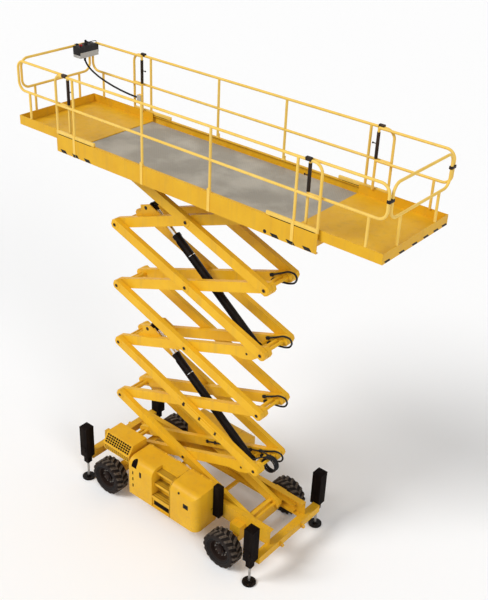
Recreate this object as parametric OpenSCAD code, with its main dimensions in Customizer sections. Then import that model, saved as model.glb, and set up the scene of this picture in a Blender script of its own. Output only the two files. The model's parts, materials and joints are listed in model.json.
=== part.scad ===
// Self-propelled rough-terrain scissor lift with five stages and a two-way extending deck.
// X runs along the machine, Y across it, Z up; the ground is at zero.

/* [Scissor] */
// Arm length from end pin to end pin
arm_len = 3500; // [3460:5:3540]
// Angle of the arms above the level as they stand, in degrees
rest_angle = 20; // [18:0.5:21]
// Depth of an arm's box section
arm_depth = 180; // [150:5:190]
// Width of an arm's box section
arm_width = 90; // [70:2:100]
// Distance from the centre plane to the outer face of the outer arms
stack_half = 390; // [370:2:396]
// Side gap between an outer and an inner arm
arm_gap = 8; // [6:1:10]
// Length of an arm past its end pin
arm_nose = 90; // [80:2:100]
// Diameter of the arm pins
pin_d = 56; // [46:2:60]
// Diameter of the cross tubes between the inner arms
cross_d = 76; // [60:2:80]

/* [Lift cylinders] */
// Bore-side diameter of a cylinder barrel
barrel_d = 140; // [120:2:150]
// Diameter of a cylinder rod
rod_d = 80; // [60:2:84]
// Length of a barrel from its eye to its gland, as a share of the cylinder's length
barrel_share = 0.784; // [0.77:0.002:0.79]
// Diameter of the pins at both cylinder ends
eye_pin_d = 70; // [60:2:74]

/* [Chassis] */
// Place of the fixed lower pivot along the machine
pivot_x = -1867; // [-1900:1:-1840]
// Height of the lower pivots
pivot_z = 670; // [665:1:690]
// Distance from the centre plane to the outer face of the side rails
rail_half = 520; // [510:2:530]
// Height of the side rails' lower edge
rail_z = 560; // [540:5:570]
// Depth of the side rails
rail_h = 330; // [300:5:340]
// Plate thickness of the chassis rails
rail_t = 12; // [8:1:16]
// Place of the front axle
front_x = 1244; // [1230:1:1260]
// Place of the rear axle
rear_x = -1624; // [-1640:1:-1610]
// Place of the front jacks
jack_front_x = 1912; // [1900:1:1930]
// Place of the rear jacks
jack_rear_x = -2208; // [-2220:1:-2190]

/* [Wheels] */
// Tyre diameter
tyre_d = 706; // [680:2:720]
// Tyre width
tyre_w = 304; // [290:2:310]
// Gap between the side rails' outer faces and the tyres
tyre_gap = 252; // [246:1:256]
// Rim diameter
rim_d = 420; // [400:2:440]

/* [Side covers] */
// How far the side covers stand out past the tyres' outer faces
cover_out = 4; // [2:1:8]
// Height of the covers' top edge
cover_top = 1250; // [1230:2:1270]
// Height of the covers' lower edge
cover_z = 430; // [420:2:440]
// Wall of the covers
cover_t = 6; // [4:0.5:8]
// Rear end of the long covers
cover_rear_x = -950; // [-960:1:-940]
// Seam between the long and the short covers
cover_seam_x = 85; // [70:1:100]
// Front end of the short covers
cover_front_x = 735; // [715:1:740]
// Front end of the far short cover
cover_far_x = 375; // [360:1:400]

/* [Platform] */
// Length of the main deck's side beams
beam_len = 5300; // [5200:10:5400]
// Distance from the centre plane to the outer face of the side beams
beam_half = 900; // [890:1:910]
// Height of the side beams' lower edge above the topmost pins
beam_up = 70; // [66:1:74]
// Depth of the side beams
beam_h = 304; // [296:1:310]
// Flange width of the side beams
beam_flange = 46; // [44:1:48]
// Plate thickness of the side beams
beam_t = 12; // [8:1:14]
// Thickness of the deck plates
deck_t = 20; // [16:1:22]
// How far each deck extension reaches past the side beams
ext_reach = 1005; // [995:1:1015]
// Length of a deck extension
ext_len = 1505; // [1450:5:1550]
// Height of the extensions' toe boards
toe_h = 161; // [150:1:165]
// Plate thickness of the toe boards
toe_t = 10; // [6:1:12]
// Height of the top rail's axis above the side beams' lower edge
top_rail_h = 1296; // [1280:1:1310]
// Height of the middle rail's axis above the side beams' lower edge
mid_rail_h = 799; // [780:1:810]
// Diameter of the guardrail tubes
tube_d = 42; // [38:1:44]
// Bend radius of the guardrail tubes
bend_r = 140; // [120:5:160]

/* [Hidden] */
$fn = 48;
// Cuts run this far past the faces they open
over = 2;
// Radial running clearance of a pin in its bore
run = 0.05;
// Clearance between flat sliding faces
slide = 0.3;

stages = 5;
span = arm_len * cos(rest_angle);
rise = arm_len * sin(rest_angle);
mid_x = pivot_x + span / 2;
roller_x = pivot_x + span;
top_z = pivot_z + stages * rise;
arm_end = arm_len / 2;
arm_deep = arm_depth / 2;
beam_z = top_z + beam_up;

// Arm planes, each given by its inner face
outer_y = stack_half - arm_width;
inner_y = outer_y - arm_gap - arm_width;
pin_r = pin_d / 2;
head_share = 0.25;
pin_head_r = pin_r + pin_d * head_share / 2;
pin_head_t = pin_d * head_share;
head_y = stack_half + pin_head_t;
nose_share = 0.25;
nose_cut = arm_depth * nose_share;
roller_r = 60;
roller_w = 50;
tie_box = 60;
tie_in = 100;

// Cylinder eyes on the inner arms, along the arm from its end pins and square to it
foot_in = 397;
foot_along = arm_end - foot_in;
foot_below = 47;
head_in = 670;
head_along = arm_end - head_in;
head_above = 215;
bulge_len = 300;
bulge_h = 55;
bulge_shares = [-1, -0.33, 0.33, 0.9];
horn_t = 14;
horn_in = 6;
horn_back = 286;
horn_step = 130;
horn_lip = 114;
horn_front = 104;
horn_run = 312;
horn_low = 22;
horn_mid = 172;
horn_top = 60;
horn_y = inner_y - horn_in - horn_t;
head_clear = 6;
head_shaft = horn_y - head_clear;
cross_in = 130;
cross_end = arm_end - cross_in;
eye_r = eye_pin_d;
rod_eye_r = 52;
eye_w = 100;
foot_x = foot_along * cos(rest_angle) + foot_below * sin(rest_angle);
foot_z = foot_along * sin(rest_angle) - foot_below * cos(rest_angle);
head_x = -head_along * cos(rest_angle) - head_above * sin(rest_angle);
head_z = 2 * rise - head_along * sin(rest_angle) + head_above * cos(rest_angle);
cyl_len = norm([head_x - foot_x, head_z - foot_z]);
cyl_angle = atan2(head_z - foot_z, head_x - foot_x);
barrel_len = cyl_len * barrel_share;
rod_share = 0.64;
rod_inside = barrel_len * rod_share;
barrel_wall = 14;
gland_len = 60;
gland_h = 8;
band_h = 4;
band_len = 30;
band_share = 0.45;

// Chassis frame
beam_sec = 150;
front_beam_x = jack_front_x + beam_sec / 3;
front_beam_z = 450;
rear_beam_x = jack_rear_x - beam_sec / 5;
rear_beam_z = 430;
rail_lip = 104;
rail_in = rail_half - rail_lip;
track_t = 15;
track_play = 4;
track_shares = [0.5, 1.04];
lug_len = 180;
lug_low = 90;
lug_h = 190;
cross_sec = 60;
cross_places = [-700, 400];
knee = [230, 160, 180];
knee_back = 60;
tie_lug = 90;
tie_lug_t = 20;
tie_hole_r = 20;
tie_y = 300;

// Axles and hubs
axle_sec = 150;
axle_z = tyre_d / 2;
king_half = 690;
king_d = 50;
king_h = 190;
king_over = 5;
fork_t = 40;
fork_y = 85;
fork_x = 110;
stub_r = 40;
stub_in = 60;
tyre_half = rail_half + tyre_gap + tyre_w;
wheel_mid = tyre_half - tyre_w / 2;
hub_half = 90;
hub_out = 80;
hub_r = 85;
hub_y = wheel_mid - hub_half;
rim_t = 14;
rim_share = 0.68;
disc_z = 40;
disc_t = 20;

// Tyre rings from the middle to the bead: shares of the half width and radius, and whether lugs rise there
lug_count = 18;
tyre_shares = [[0.03, 0.92, 1], [0.84, 0.91, 1], [0.97, 0.88, 0], [1, 0.78, 0], [0.7, 0.6, 0]];
// Corners of one lug and of the plain rings, and the lugs' stagger and lean, as shares of their pitch
lug_shares = [-0.26, -0.2, 0.2, 0.26];
round_shares = [-0.375, -0.125, 0.125, 0.375];
stagger_share = 0.25;
lean_share = 0.55;

// Covers, their hinges and what they hide
cover_half = tyre_half + cover_out;
pod_gap = 12;
tray_t = 30;
tray_in = 180;
back_t = 8;
hinge_r = 7;
hinge_w = 40;
hinge_shares = [0.03, 0.36, 0.69];
hinge_lug_w = 30;
hinge_gap = 6;
hinge_y = rail_half + back_t / 2;
hinge_z = cover_top;
pod_top = hinge_z - hinge_r - 2 * back_t;
cover_in = rail_half + 2 * back_t + over;
cover_round = 160;
corner_round = 140;
seam_gap = 6;
engine_len = 520;
engine_h = 560;
engine_in = 150;
step_x0 = -363;
step_x1 = 75;
step_z = 450;
step_low_in = 140;
step_top_in = 280;
treads = [[6, 700], [70, 960], [135, 1180]];
tread_t = 55;
riser_in = 20;
slot_x0 = -325;
slot_len = 370;
slot_z = 505;
slot_h = 60;
window = [-880, 1085, 125, 90];
window_in = 110;
mark = [-862, 24, 66];
mark_levels = [622, 774, 918];
latch = [-664, 950, 16, 98];
port = [412, 870, 125, 110];
end_slot = [573, 740, 109, 24];

// Grille box by the near rear wheel, its outline across the machine and its slots
grille_x0 = -1730;
grille_len = 690;
grille_line = [[520, 760], [520, 1340], [870, 1340], [990, 1150], [960, 985]];
grille_hollow = [[520, 770], [520, 1334], [867, 1334], [983, 1149], [954, 991]];
grille_count = 16;
grille_slot = 22;
grille_end = 45;
grille_bands = [[1180, 1310], [1010, 1125]];
grille_in = 860;
guard = [745, 610, 145, 680];
guard_y = 120;
guard_t = 10;

// Jacks
jack_box = 190;
jack_in = 1;
jack_half = tyre_half - jack_box / 2 - jack_in;
jack_tops = [1265, 1250];
jack_bottom_z = 560;
jack_cap = 90;
jack_stub = 110;
jack_stub_z = 400;
jack_rod_d = 44;
jack_rod_up = 200;
pad_d = 250;
pad_t = 24;
pad_z = 8;
pad_boss_d = 90;
pad_boss_h = 30;

// Platform
deck_up = 180;
deck_z = beam_z + deck_up;
play = 8;
ext_half = beam_half - beam_flange - play;
ext_floor_z = deck_z + deck_t + slide;
ext_floor_t = 12;
toe_z = deck_z + play;
deck_half = ext_half - toe_t - play;
ext_end = beam_len / 2 + ext_reach;
ext_in = ext_end - ext_len;
top_rail_z = beam_z + top_rail_h;
mid_rail_z = beam_z + mid_rail_h;
tube_r = tube_d / 2;
main_rail_y = beam_half - tube_r - over;
ext_rail_y = ext_half - tube_r;
ext_rail_back = 260;
ext_rail_in = beam_len / 2 - ext_rail_back;
post_shares = [-0.42, -0.13, 0.13, 0.42];
inset = 260;
end_gap = 70;
joist_h = 130;
joist_w = 60;
joist_shares = [-0.96, -0.72, -0.48, -0.2, 0, 0.24, 0.48, 0.72, 0.96];
rib_w = 50;
rib_t = 8;
rib_up = 60;
hang_t = 20;
hang_gap = 1;
hang_y = head_y + hang_gap;
hang_half = 110;
hang_low = 80;
stringer_w = 80;
stringer_h = 50;
stringer_share = 0.98;

// Control box on the left end rail, and its cable
box_size = [180, 420, 190];
box_in = 56;
box_x = -ext_end + tube_d;
box_y = ext_half - box_in - box_size[1];
box_z = top_rail_z + tube_r - pod_gap - box_size[2];
hook_t = 6;
hook_w = 60;
hook_shares = [0.15, 0.7];
stick_r = 14;
stick_h = 60;
gland_r = 24;
gland_drop = 40;
gland_at = [63, 203];
joint_box = [80, 66, 120];
cable_r = 16;
cable_sides = 8;
cable_start = [box_x + gland_at[0], box_y + gland_at[1], box_z - gland_drop];

// Route of the cable from its gland to the joint box
cable_line = [
    [0, 0, 0], [0, 0, -20], [11, 2, -58], [39, 9, -110], [78, 17, -154], [122, 27, -193], [170, 38, -227],
    [220, 48, -257], [271, 59, -285], [324, 70, -310], [378, 82, -333], [432, 93, -355], [487, 104, -374],
    [543, 115, -393], [599, 125, -410], [655, 136, -425], [712, 146, -440], [769, 156, -453], [827, 166, -465],
    [885, 175, -475], [943, 183, -484], [1001, 191, -491], [1061, 197, -494], [1090, 199, -494],
    [1120, 199, -494]
];
cable_end = cable_start + cable_line[len(cable_line) - 1];

yellow = [0.93, 0.68, 0.10];
black = [0.10, 0.09, 0.09];
rubber = [0.16, 0.15, 0.14];
steel = [0.70, 0.71, 0.73];
grey = [0.35, 0.35, 0.36];

// A round bar along Y between two places
module bar_y(r, y0, y1) {
    translate([0, y1, 0]) rotate([90, 0, 0]) cylinder(r = r, h = y1 - y0);
}

// A round bar along X between two places
module bar_x(r, x0, x1) {
    translate([x0, 0, 0]) rotate([0, 90, 0]) cylinder(r = r, h = x1 - x0);
}

// A plate in the XZ plane drawn from a flat outline, between two places along Y
module plate_y(y0, y1) {
    translate([0, y1, 0]) rotate([90, 0, 0]) linear_extrude(y1 - y0) children();
}

// A plate in the YZ plane drawn from a flat outline, between two places along X
module plate_x(x0, x1) {
    translate([x0, 0, 0]) rotate([90, 0, 90]) linear_extrude(x1 - x0) children();
}

// Both sides of the machine
module both_sides() {
    children();
    mirror([0, 1, 0]) children();
}

// The far side as drawn, or the near side mirrored from it
module on_side(side) {
    mirror([0, side < 0 ? 1 : 0, 0]) children();
}

// Arm frame: origin at the middle pin, X along the arm
module at_arm(stage, rising) {
    translate([mid_x, 0, pivot_z + (stage - 1) * rise + rise / 2])
        rotate([0, rising ? -rest_angle : rest_angle, 0]) children();
}

// Side outline of an arm with its corners cut at both noses
module arm_outline() {
    half = arm_end + arm_nose;
    polygon([
        [-half + nose_cut, -arm_deep], [half - nose_cut, -arm_deep], [half, -arm_deep + nose_cut],
        [half, arm_deep - nose_cut], [half - nose_cut, arm_deep], [-half + nose_cut, arm_deep],
        [-half, arm_deep - nose_cut], [-half, -arm_deep + nose_cut]
    ]);
}

// Lower swelling of an inner arm round the foot of a cylinder
module foot_outline() {
    s = [for (share = bulge_shares) foot_along + share * bulge_len];
    low = -arm_deep - bulge_h;
    polygon([[s[0], 0], [s[0], -arm_deep], [s[1], low], [s[2], low], [s[3], -arm_deep], [s[3], 0]]);
}

// Stepped horn plate above an inner arm that holds the head of a cylinder
module horn_outline() {
    top = head_above + horn_top;
    translate([-head_along, 0]) polygon([
        [-horn_back, 0], [-horn_back, arm_deep + horn_low], [-horn_step, horn_mid], [-horn_lip, top],
        [horn_front, top], [horn_run, arm_deep], [horn_run, 0]
    ]);
}

// An outer pair: two arms on a shaft at either end, with a stub pin at each middle
module outer_pair(stage) {
    left = stage == stages ? hang_y + hang_t : head_y;
    right = stage == 1 ? head_y + roller_w : head_y;
    color(yellow) at_arm(stage, false) {
        both_sides() {
            plate_y(outer_y, stack_half) arm_outline();
            bar_y(pin_r, inner_y - over, stack_half);
            for (x = [-arm_end, 0, arm_end])
                translate([x, 0, 0]) bar_y(pin_head_r, stack_half - over, head_y);
        }
        translate([-arm_end, 0, 0]) bar_y(pin_r, -left, left);
        translate([arm_end, 0, 0]) bar_y(pin_r, -right, right);
        if (stage == 1) {
            both_sides() translate([arm_end, 0, 0]) bar_y(roller_r, head_y, head_y + roller_w);
            translate([arm_end - tie_in, 0, 0])
                cube([tie_box, 2 * outer_y + 2 * over, tie_box], center = true);
        }
    }
}

// Bore of an inner pair for a pin
module pin_bore(x) {
    both_sides() translate([x, 0, 0]) bar_y(pin_r + run, horn_y - over, inner_y + arm_width + over);
}

// An inner pair: two arms joined by cross tubes, bored for the outer pairs' pins
module inner_pair(stage) {
    foot = stage == 1 || stage == 3;
    horn = stage == 3 || stage == 5;
    reach = head_y + roller_w;
    color(yellow) at_arm(stage, true) {
        difference() {
            union() {
                both_sides() {
                    plate_y(inner_y, inner_y + arm_width) {
                        arm_outline();
                        if (foot) foot_outline();
                    }
                    if (horn) {
                        plate_y(horn_y, horn_y + horn_t) horn_outline();
                        translate([-head_along - horn_back, horn_y + horn_t - over, 0])
                            cube([horn_back + horn_run, horn_in + 2 * over, arm_deep]);
                    }
                }
                for (x = [-cross_end, cross_end]) translate([x, 0, 0])
                    bar_y(cross_d / 2, -inner_y - over, inner_y + over);
            }
            pin_bore(0);
            pin_bore(-arm_end);
            if (stage < stages) pin_bore(arm_end);
            if (horn) both_sides() translate([-head_along, 0, head_above])
                bar_y(eye_pin_d / 2, horn_y - over, inner_y + over);
        }
        if (foot) translate([foot_along, 0, -foot_below])
            bar_y(eye_pin_d / 2, -inner_y - arm_width, inner_y + arm_width);
        if (stage == stages) translate([arm_end, 0, 0]) {
            bar_y(pin_r, -reach, reach);
            both_sides() bar_y(roller_r, head_y, reach);
        }
    }
}

// Cylinder frame: origin at the barrel's eye, X along the cylinder
module at_cylinder(stage) {
    translate([mid_x + foot_x, 0, pivot_z + (stage - 1) * rise + rise / 2 + foot_z])
        rotate([0, -cyl_angle, 0]) children();
}

// Barrel with its eye, gland and band, bored for the rod
module barrel(stage) {
    color(black) at_cylinder(stage) difference() {
        union() {
            bar_y(eye_r, -eye_w / 2, eye_w / 2);
            bar_x(barrel_d / 2, 0, barrel_len);
            bar_x(barrel_d / 2 + band_h, barrel_len * band_share, barrel_len * band_share + band_len);
            bar_x(barrel_d / 2 + gland_h, barrel_len - gland_len, barrel_len);
        }
        bar_y(eye_pin_d / 2 + run, -barrel_d, barrel_d);
        bar_x(rod_d / 2 + run, eye_r + barrel_wall, barrel_len + over);
    }
}

// Rod with its eye and crosshead shaft
module rod(stage) {
    color(steel) at_cylinder(stage) translate([cyl_len, 0, 0]) {
        bar_y(rod_eye_r, -eye_w / 2, eye_w / 2);
        bar_y(eye_pin_d / 2, -head_shaft, head_shaft);
        bar_x(rod_d / 2, barrel_len - rod_inside - cyl_len, 0);
    }
}

// C-section side rail with its inward flanges, seen along X
module rail_section() {
    top = rail_z + rail_h;
    polygon([
        [rail_half, rail_z], [rail_half, top], [rail_in, top], [rail_in, top - rail_t],
        [rail_half - rail_t, top - rail_t], [rail_half - rail_t, rail_z + rail_t], [rail_in, rail_z + rail_t],
        [rail_in, rail_z]
    ]);
}

// A lashing lug on an end beam, pointing along X
module tie_lug(x, z, way) {
    translate([x, 0, z]) plate_y(tie_y, tie_y + tie_lug_t) difference() {
        union() {
            translate([way > 0 ? -over : -tie_lug / 2, -tie_lug / 2]) square([tie_lug / 2 + over, tie_lug]);
            translate([way * tie_lug / 2, 0]) circle(d = tie_lug);
        }
        translate([way * tie_lug / 2, 0]) circle(r = tie_hole_r);
    }
}

// The two end beams that carry the jacks
module end_beams() {
    for (b = [[front_beam_x, front_beam_z], [rear_beam_x, rear_beam_z]])
        translate([b[0] - beam_sec / 2, -jack_half + jack_box / 2, b[1]])
            cube([beam_sec, 2 * jack_half - jack_box, beam_sec]);
}

// A side rail with its roller track, pivot lug and knee, notched over the end beams
module rail(side) {
    track_x0 = pivot_x + arm_len * track_shares[0];
    track_x1 = pivot_x + arm_len * track_shares[1];
    color(yellow) on_side(side) difference() {
        union() {
            plate_x(jack_rear_x, front_beam_x) rail_section();
            for (z = [pivot_z - roller_r - slide - track_t, pivot_z + roller_r + track_play])
                translate([track_x0, rail_in, z]) cube([track_x1 - track_x0, rail_lip - over, track_t]);
            translate([front_x - knee_back, rail_half - over, rail_z]) cube(knee);
            translate([pivot_x - lug_len / 2, outer_y, pivot_z - lug_low])
                cube([lug_len, rail_half - outer_y - over, lug_h]);
        }
        end_beams();
    }
}

// What ties the rails: end beams, axle saddles, cross tubes and the lower pivot shaft
module chassis_frame() {
    saddle_z = axle_z + axle_sec / 2;
    color(yellow) {
        end_beams();
        both_sides() {
            tie_lug(front_beam_x + beam_sec / 2, front_beam_z + beam_sec / 2, 1);
            tie_lug(rear_beam_x - beam_sec / 2, rear_beam_z + beam_sec / 2, -1);
        }
        translate([pivot_x, 0, pivot_z]) bar_y(pin_r, -outer_y, outer_y);
        for (x = [front_x, rear_x]) translate([x - axle_sec / 2, -rail_half, saddle_z])
            cube([axle_sec, 2 * rail_half, rail_z - saddle_z]);
        for (x = cross_places) translate([x, -rail_half, rail_z - cross_sec])
            cube([cross_sec, 2 * rail_half, cross_sec]);
    }
}

// One levelling jack's housing
module jack_housing(top) {
    half = jack_box / 2;
    difference() {
        union() {
            translate([-half, -half, jack_bottom_z]) cube([jack_box, jack_box, top - jack_bottom_z]);
            translate([-jack_stub / 2, -jack_stub / 2, jack_stub_z])
                cube([jack_stub, jack_stub, jack_bottom_z - jack_stub_z + over]);
        }
        translate([0, 0, jack_stub_z - over])
            cylinder(d = jack_rod_d + 2 * run, h = top - jack_cap - jack_stub_z);
    }
}

module jack_boxes() {
    color(black) both_sides() {
        translate([jack_front_x, jack_half, 0]) jack_housing(jack_tops[0]);
        translate([jack_rear_x, jack_half, 0]) jack_housing(jack_tops[1]);
    }
}

// Rod and foot of a levelling jack
module jack_leg(x, side) {
    color(steel) translate([x, side * jack_half, pad_z]) {
        cylinder(d = pad_d, h = pad_t);
        cylinder(d = pad_boss_d, h = pad_t + pad_boss_h);
        cylinder(d = jack_rod_d, h = jack_bottom_z + jack_rod_up);
    }
}

module axle_front() {
    color(yellow) {
        translate([front_x - axle_sec / 2, -king_half + fork_y, axle_z - axle_sec / 2])
            cube([axle_sec, 2 * (king_half - fork_y), axle_sec]);
        both_sides() translate([front_x, king_half, axle_z]) difference() {
            for (z = [-king_h / 2, king_h / 2 - fork_t]) translate([-fork_x / 2, -fork_y - fork_t, z])
                cube([fork_x, fork_y + fork_t + king_d, fork_t]);
            translate([0, 0, -king_h]) cylinder(d = king_d + 2 * run, h = 2 * king_h);
        }
    }
}

// Steering knuckle with its king pin and stub axle
module knuckle(side) {
    color(grey) on_side(side) translate([front_x, king_half, axle_z]) {
        cylinder(d = king_d, h = king_h + 2 * king_over, center = true);
        translate([-fork_x / 2, -king_d, -king_h / 2 + fork_t + over])
            cube([fork_x, 2 * king_d, king_h - 2 * fork_t - 2 * over]);
        bar_y(stub_r, 0, hub_y - king_half + stub_in);
    }
}

module axle_rear() {
    half = hub_y - stub_in;
    color(yellow) {
        translate([rear_x - axle_sec / 2, -half, axle_z - axle_sec / 2]) cube([axle_sec, 2 * half, axle_sec]);
        both_sides() translate([rear_x, 0, axle_z]) bar_y(stub_r, half - over, hub_y + stub_in);
    }
}

// Points of one ring round a tyre: plain, or rising to the lugs' tips
function tyre_ring(ring, way) =
    let (
        tip = tyre_d / 2,
        bead = ring[1] * tip < rim_d / 2,
        root = bead ? rim_d / 2 / cos(45 / lug_count) + slide : ring[1] * tip,
        lean = ring[0] * lean_share + way * stagger_share
    )
    [for (i = [0 : lug_count - 1], k = [0 : len(lug_shares) - 1])
        let (
            t = (i + lean + (ring[2] > 0 ? lug_shares[k] : round_shares[k])) * 360 / lug_count,
            high = ring[2] > 0 && abs(lug_shares[k]) < stagger_share,
            r = high ? tip : root
        )
        [r * cos(t), r * sin(t), way * ring[0] * tyre_w / 2]
    ];

// A tyre skinned over its rings, with two rows of leaning lugs
module tyre(x, side) {
    last = len(tyre_shares) - 1;
    rings = concat(
        [for (i = [last : -1 : 0]) tyre_ring(tyre_shares[i], -1)],
        [for (i = [0 : last]) tyre_ring(tyre_shares[i], 1)]
    );
    n = len(rings[0]);
    m = len(rings);
    color(rubber) on_side(side) translate([x, wheel_mid, axle_z]) rotate([90, 0, 0]) polyhedron(
        points = [for (ring = rings) each ring],
        faces = [for (j = [0 : m - 1], k = [0 : n - 1])
            let (
                a = j * n + k,
                b = j * n + (k + 1) % n,
                c = (j + 1) % m * n + k,
                d = (j + 1) % m * n + (k + 1) % n
            )
            each [[a, c, d], [a, d, b]]
        ]
    );
}

module rim(x, side) {
    w = tyre_w / 2 * rim_share;
    r = rim_d / 2;
    color(grey) on_side(side) translate([x, wheel_mid, axle_z]) rotate([90, 0, 0]) difference() {
        union() {
            rotate_extrude() polygon([[r - rim_t, -w], [r, -w], [r, w], [r - rim_t, w]]);
            translate([0, 0, -disc_z]) cylinder(r = r - rim_t / 2, h = disc_t);
            translate([0, 0, -hub_out]) cylinder(r = hub_r, h = hub_out + hub_half);
        }
        translate([0, 0, -stub_in]) cylinder(r = stub_r + run, h = stub_in + hub_half + over);
    }
}

module engine() {
    color(grey) translate([cover_rear_x + 2 * pod_gap, -cover_half + engine_in, cover_z + pod_gap + tray_t])
        cube([engine_len, cover_half - engine_in - cover_in - pod_gap, engine_h]);
}

// Back wall, floor tray and hinge rod behind one cover
module pod(x0, x1) {
    len = x1 - x0 - 2 * pod_gap;
    translate([x0 + pod_gap, rail_half, cover_z + pod_gap]) {
        cube([len, cover_half - tray_in - rail_half, tray_t]);
        cube([len, back_t, pod_top - cover_z - pod_gap]);
    }
    for (s = hinge_shares) translate([x0 + s * (x1 - x0), rail_half, pod_top - over])
        cube([hinge_lug_w, back_t, hinge_z + hinge_r - pod_top + over]);
    translate([0, hinge_y, hinge_z]) bar_x(hinge_r, x0 + pod_gap, x1 - pod_gap);
}

module side_pods() {
    color(yellow) {
        both_sides() pod(cover_rear_x, cover_seam_x);
        on_side(-1) pod(cover_seam_x + seam_gap, cover_front_x);
        pod(cover_seam_x + seam_gap, cover_far_x);
    }
}

// Grille box beside the stack, above the near rear wheel
module grille_cover() {
    color(yellow) on_side(-1) difference() {
        plate_x(grille_x0, grille_x0 + grille_len) polygon(grille_line);
        plate_x(grille_x0 + cover_t, grille_x0 + grille_len - cover_t) polygon(grille_hollow);
        for (i = [0 : grille_count - 1], b = grille_bands)
            translate([
                grille_x0 + grille_end + i * (grille_len - 2 * grille_end - grille_slot) / (grille_count - 1),
                grille_in, b[0]
            ]) cube([grille_slot, grille_in, b[1] - b[0]]);
    }
}

// Upright channel that guards the hoses by the near rail
module hose_guard() {
    color(black) translate([guard[0], -rail_half - guard_y, guard[1]]) difference() {
        cube([guard[2], guard_y, guard[3]]);
        translate([guard_t, guard_t, -over])
            cube([guard[2] - 2 * guard_t, guard_y, guard[3] - guard_t + over]);
    }
}

// Outline of a cover across the machine, drawn in by a wall
module cover_outline(wall) {
    r = cover_round;
    down = wall > 0 ? over : 0;
    translate([cover_in - down, cover_z - down])
        square([cover_half - cover_in - wall + down, cover_top - r - cover_z + down]);
    translate([cover_in - down, cover_top - r - over])
        square([cover_half - cover_in - r + down, r - wall + over]);
    translate([cover_half - r, cover_top - r]) circle(r = r - wall);
}

// Outline of a short cover from above, its outer front corner rounded, drawn in by a wall
module cover_plan(x0, x1, wall) {
    r = corner_round;
    translate([x0 + wall, 0]) square([x1 - x0 - wall - r, cover_half]);
    translate([x0 + wall, 0]) square([x1 - x0 - 2 * wall, cover_half - r]);
    translate([x1 - r, cover_half - r]) circle(r = r - wall);
}

// A cover's body, or with a wall its hollow
module cover_body(x0, x1, wall, rounded) {
    intersection() {
        plate_x(x0 + wall, x1 - wall) cover_outline(wall);
        if (rounded) linear_extrude(cover_top) cover_plan(x0, x1, wall);
        else plate_x(x0, x1) square([cover_half, cover_top]);
    }
}

// The step recess across the machine, its back leaning in toward the top, drawn out by a wall
module step_outline(wall) {
    low_y = cover_half - step_low_in - wall;
    top_y = cover_half - step_top_in - wall;
    out_y = cover_half + over;
    top = cover_top + over;
    polygon([[low_y, step_z - wall], [out_y, step_z - wall], [out_y, top], [top_y, top]]);
}

// Folded treads that reach out of the recess's back, and the slotted riser under the lowest one
module step_treads() {
    lean = (step_top_in - step_low_in) / (cover_top - step_z);
    len = step_x1 - step_x0 + 2 * over;
    riser_y = cover_half - treads[0][0] - riser_in;
    translate([step_x0 - over, 0, 0]) {
        for (t = treads) {
            front = cover_half - t[0];
            back = cover_half - step_low_in - lean * (t[1] - step_z) - over;
            translate([0, back, t[1] - cover_t]) cube([len, front - back, cover_t]);
            translate([0, front - cover_t, t[1] - tread_t]) cube([len, cover_t, tread_t]);
        }
        translate([0, riser_y - cover_t, step_z - over])
            cube([len, cover_t, treads[0][1] - cover_t - step_z + 2 * over]);
    }
}

// An upright opening through a cover's outer wall
module cover_hole(x, z, size) {
    translate([x, cover_half - window_in, z]) cube([size[0], window_in + over, size[1]]);
}

// Openings of a long cover: window, marks, latch and the slot under the lowest step
module long_holes() {
    cover_hole(window[0], window[1], [window[2], window[3]]);
    translate([window[0] + window[2] / 2, cover_half + over, window[1] + window[3]]) rotate([90, 0, 0])
        cylinder(d = window[2], h = window_in + over);
    for (z = mark_levels) cover_hole(mark[0], z, [mark[1], mark[2]]);
    cover_hole(latch[0], latch[1], [latch[2], latch[3]]);
    cover_hole(slot_x0, slot_z, [slot_len, slot_h]);
}

// Openings of a short cover: the slot in its end, and on the near side the port
module short_holes(x1, side) {
    if (side < 0) cover_hole(port[0], port[1], [port[2], port[3]]);
    translate([x1 - pod_gap, end_slot[0], end_slot[1]]) cube([2 * pod_gap, end_slot[2], end_slot[3]]);
}

// A hinged side cover: a shell open below and behind, with knuckles on its hinge line
module cover(x0, x1, side) {
    long = x1 == cover_seam_x;
    color(yellow) on_side(side) difference() {
        union() {
            difference() {
                union() {
                    difference() {
                        cover_body(x0, x1, 0, !long);
                        cover_body(x0, x1, cover_t, !long);
                    }
                    if (long) intersection() {
                        cover_body(step_x0 - cover_t, step_x1 + cover_t, 0, false);
                        plate_x(x0, x1) step_outline(cover_t);
                    }
                }
                if (long) plate_x(step_x0, step_x1) step_outline(0);
            }
            if (long) step_treads();
            for (s = hinge_shares)
                translate([x0 + s * (x1 - x0) + hinge_lug_w + hinge_gap, hinge_y, hinge_z]) {
                    bar_x(hinge_r + back_t, 0, hinge_w);
                    translate([0, 0, -cover_t]) cube([hinge_w, cover_in - hinge_y + over, cover_t]);
                }
        }
        translate([0, hinge_y, hinge_z]) bar_x(hinge_r + run, x0, x1);
        if (long) long_holes();
        else short_holes(x1, side);
    }
}

// C-section side beam of the main deck, seen along X
module beam_section() {
    top = beam_z + beam_h;
    lip = beam_half - beam_flange;
    polygon([
        [beam_half, beam_z], [beam_half, top], [lip, top], [lip, top - beam_t],
        [beam_half - beam_t, top - beam_t], [beam_half - beam_t, beam_z + beam_t], [lip, beam_z + beam_t],
        [lip, beam_z]
    ]);
}

module side_beams() {
    color(yellow) both_sides() plate_x(-beam_len / 2, beam_len / 2) beam_section();
}

module deck_joists() {
    color(yellow) for (s = joist_shares)
        translate([s * beam_len / 2 - joist_w / 2, -beam_half + beam_t, deck_z - joist_h])
            cube([joist_w, 2 * (beam_half - beam_t), joist_h]);
}

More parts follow.
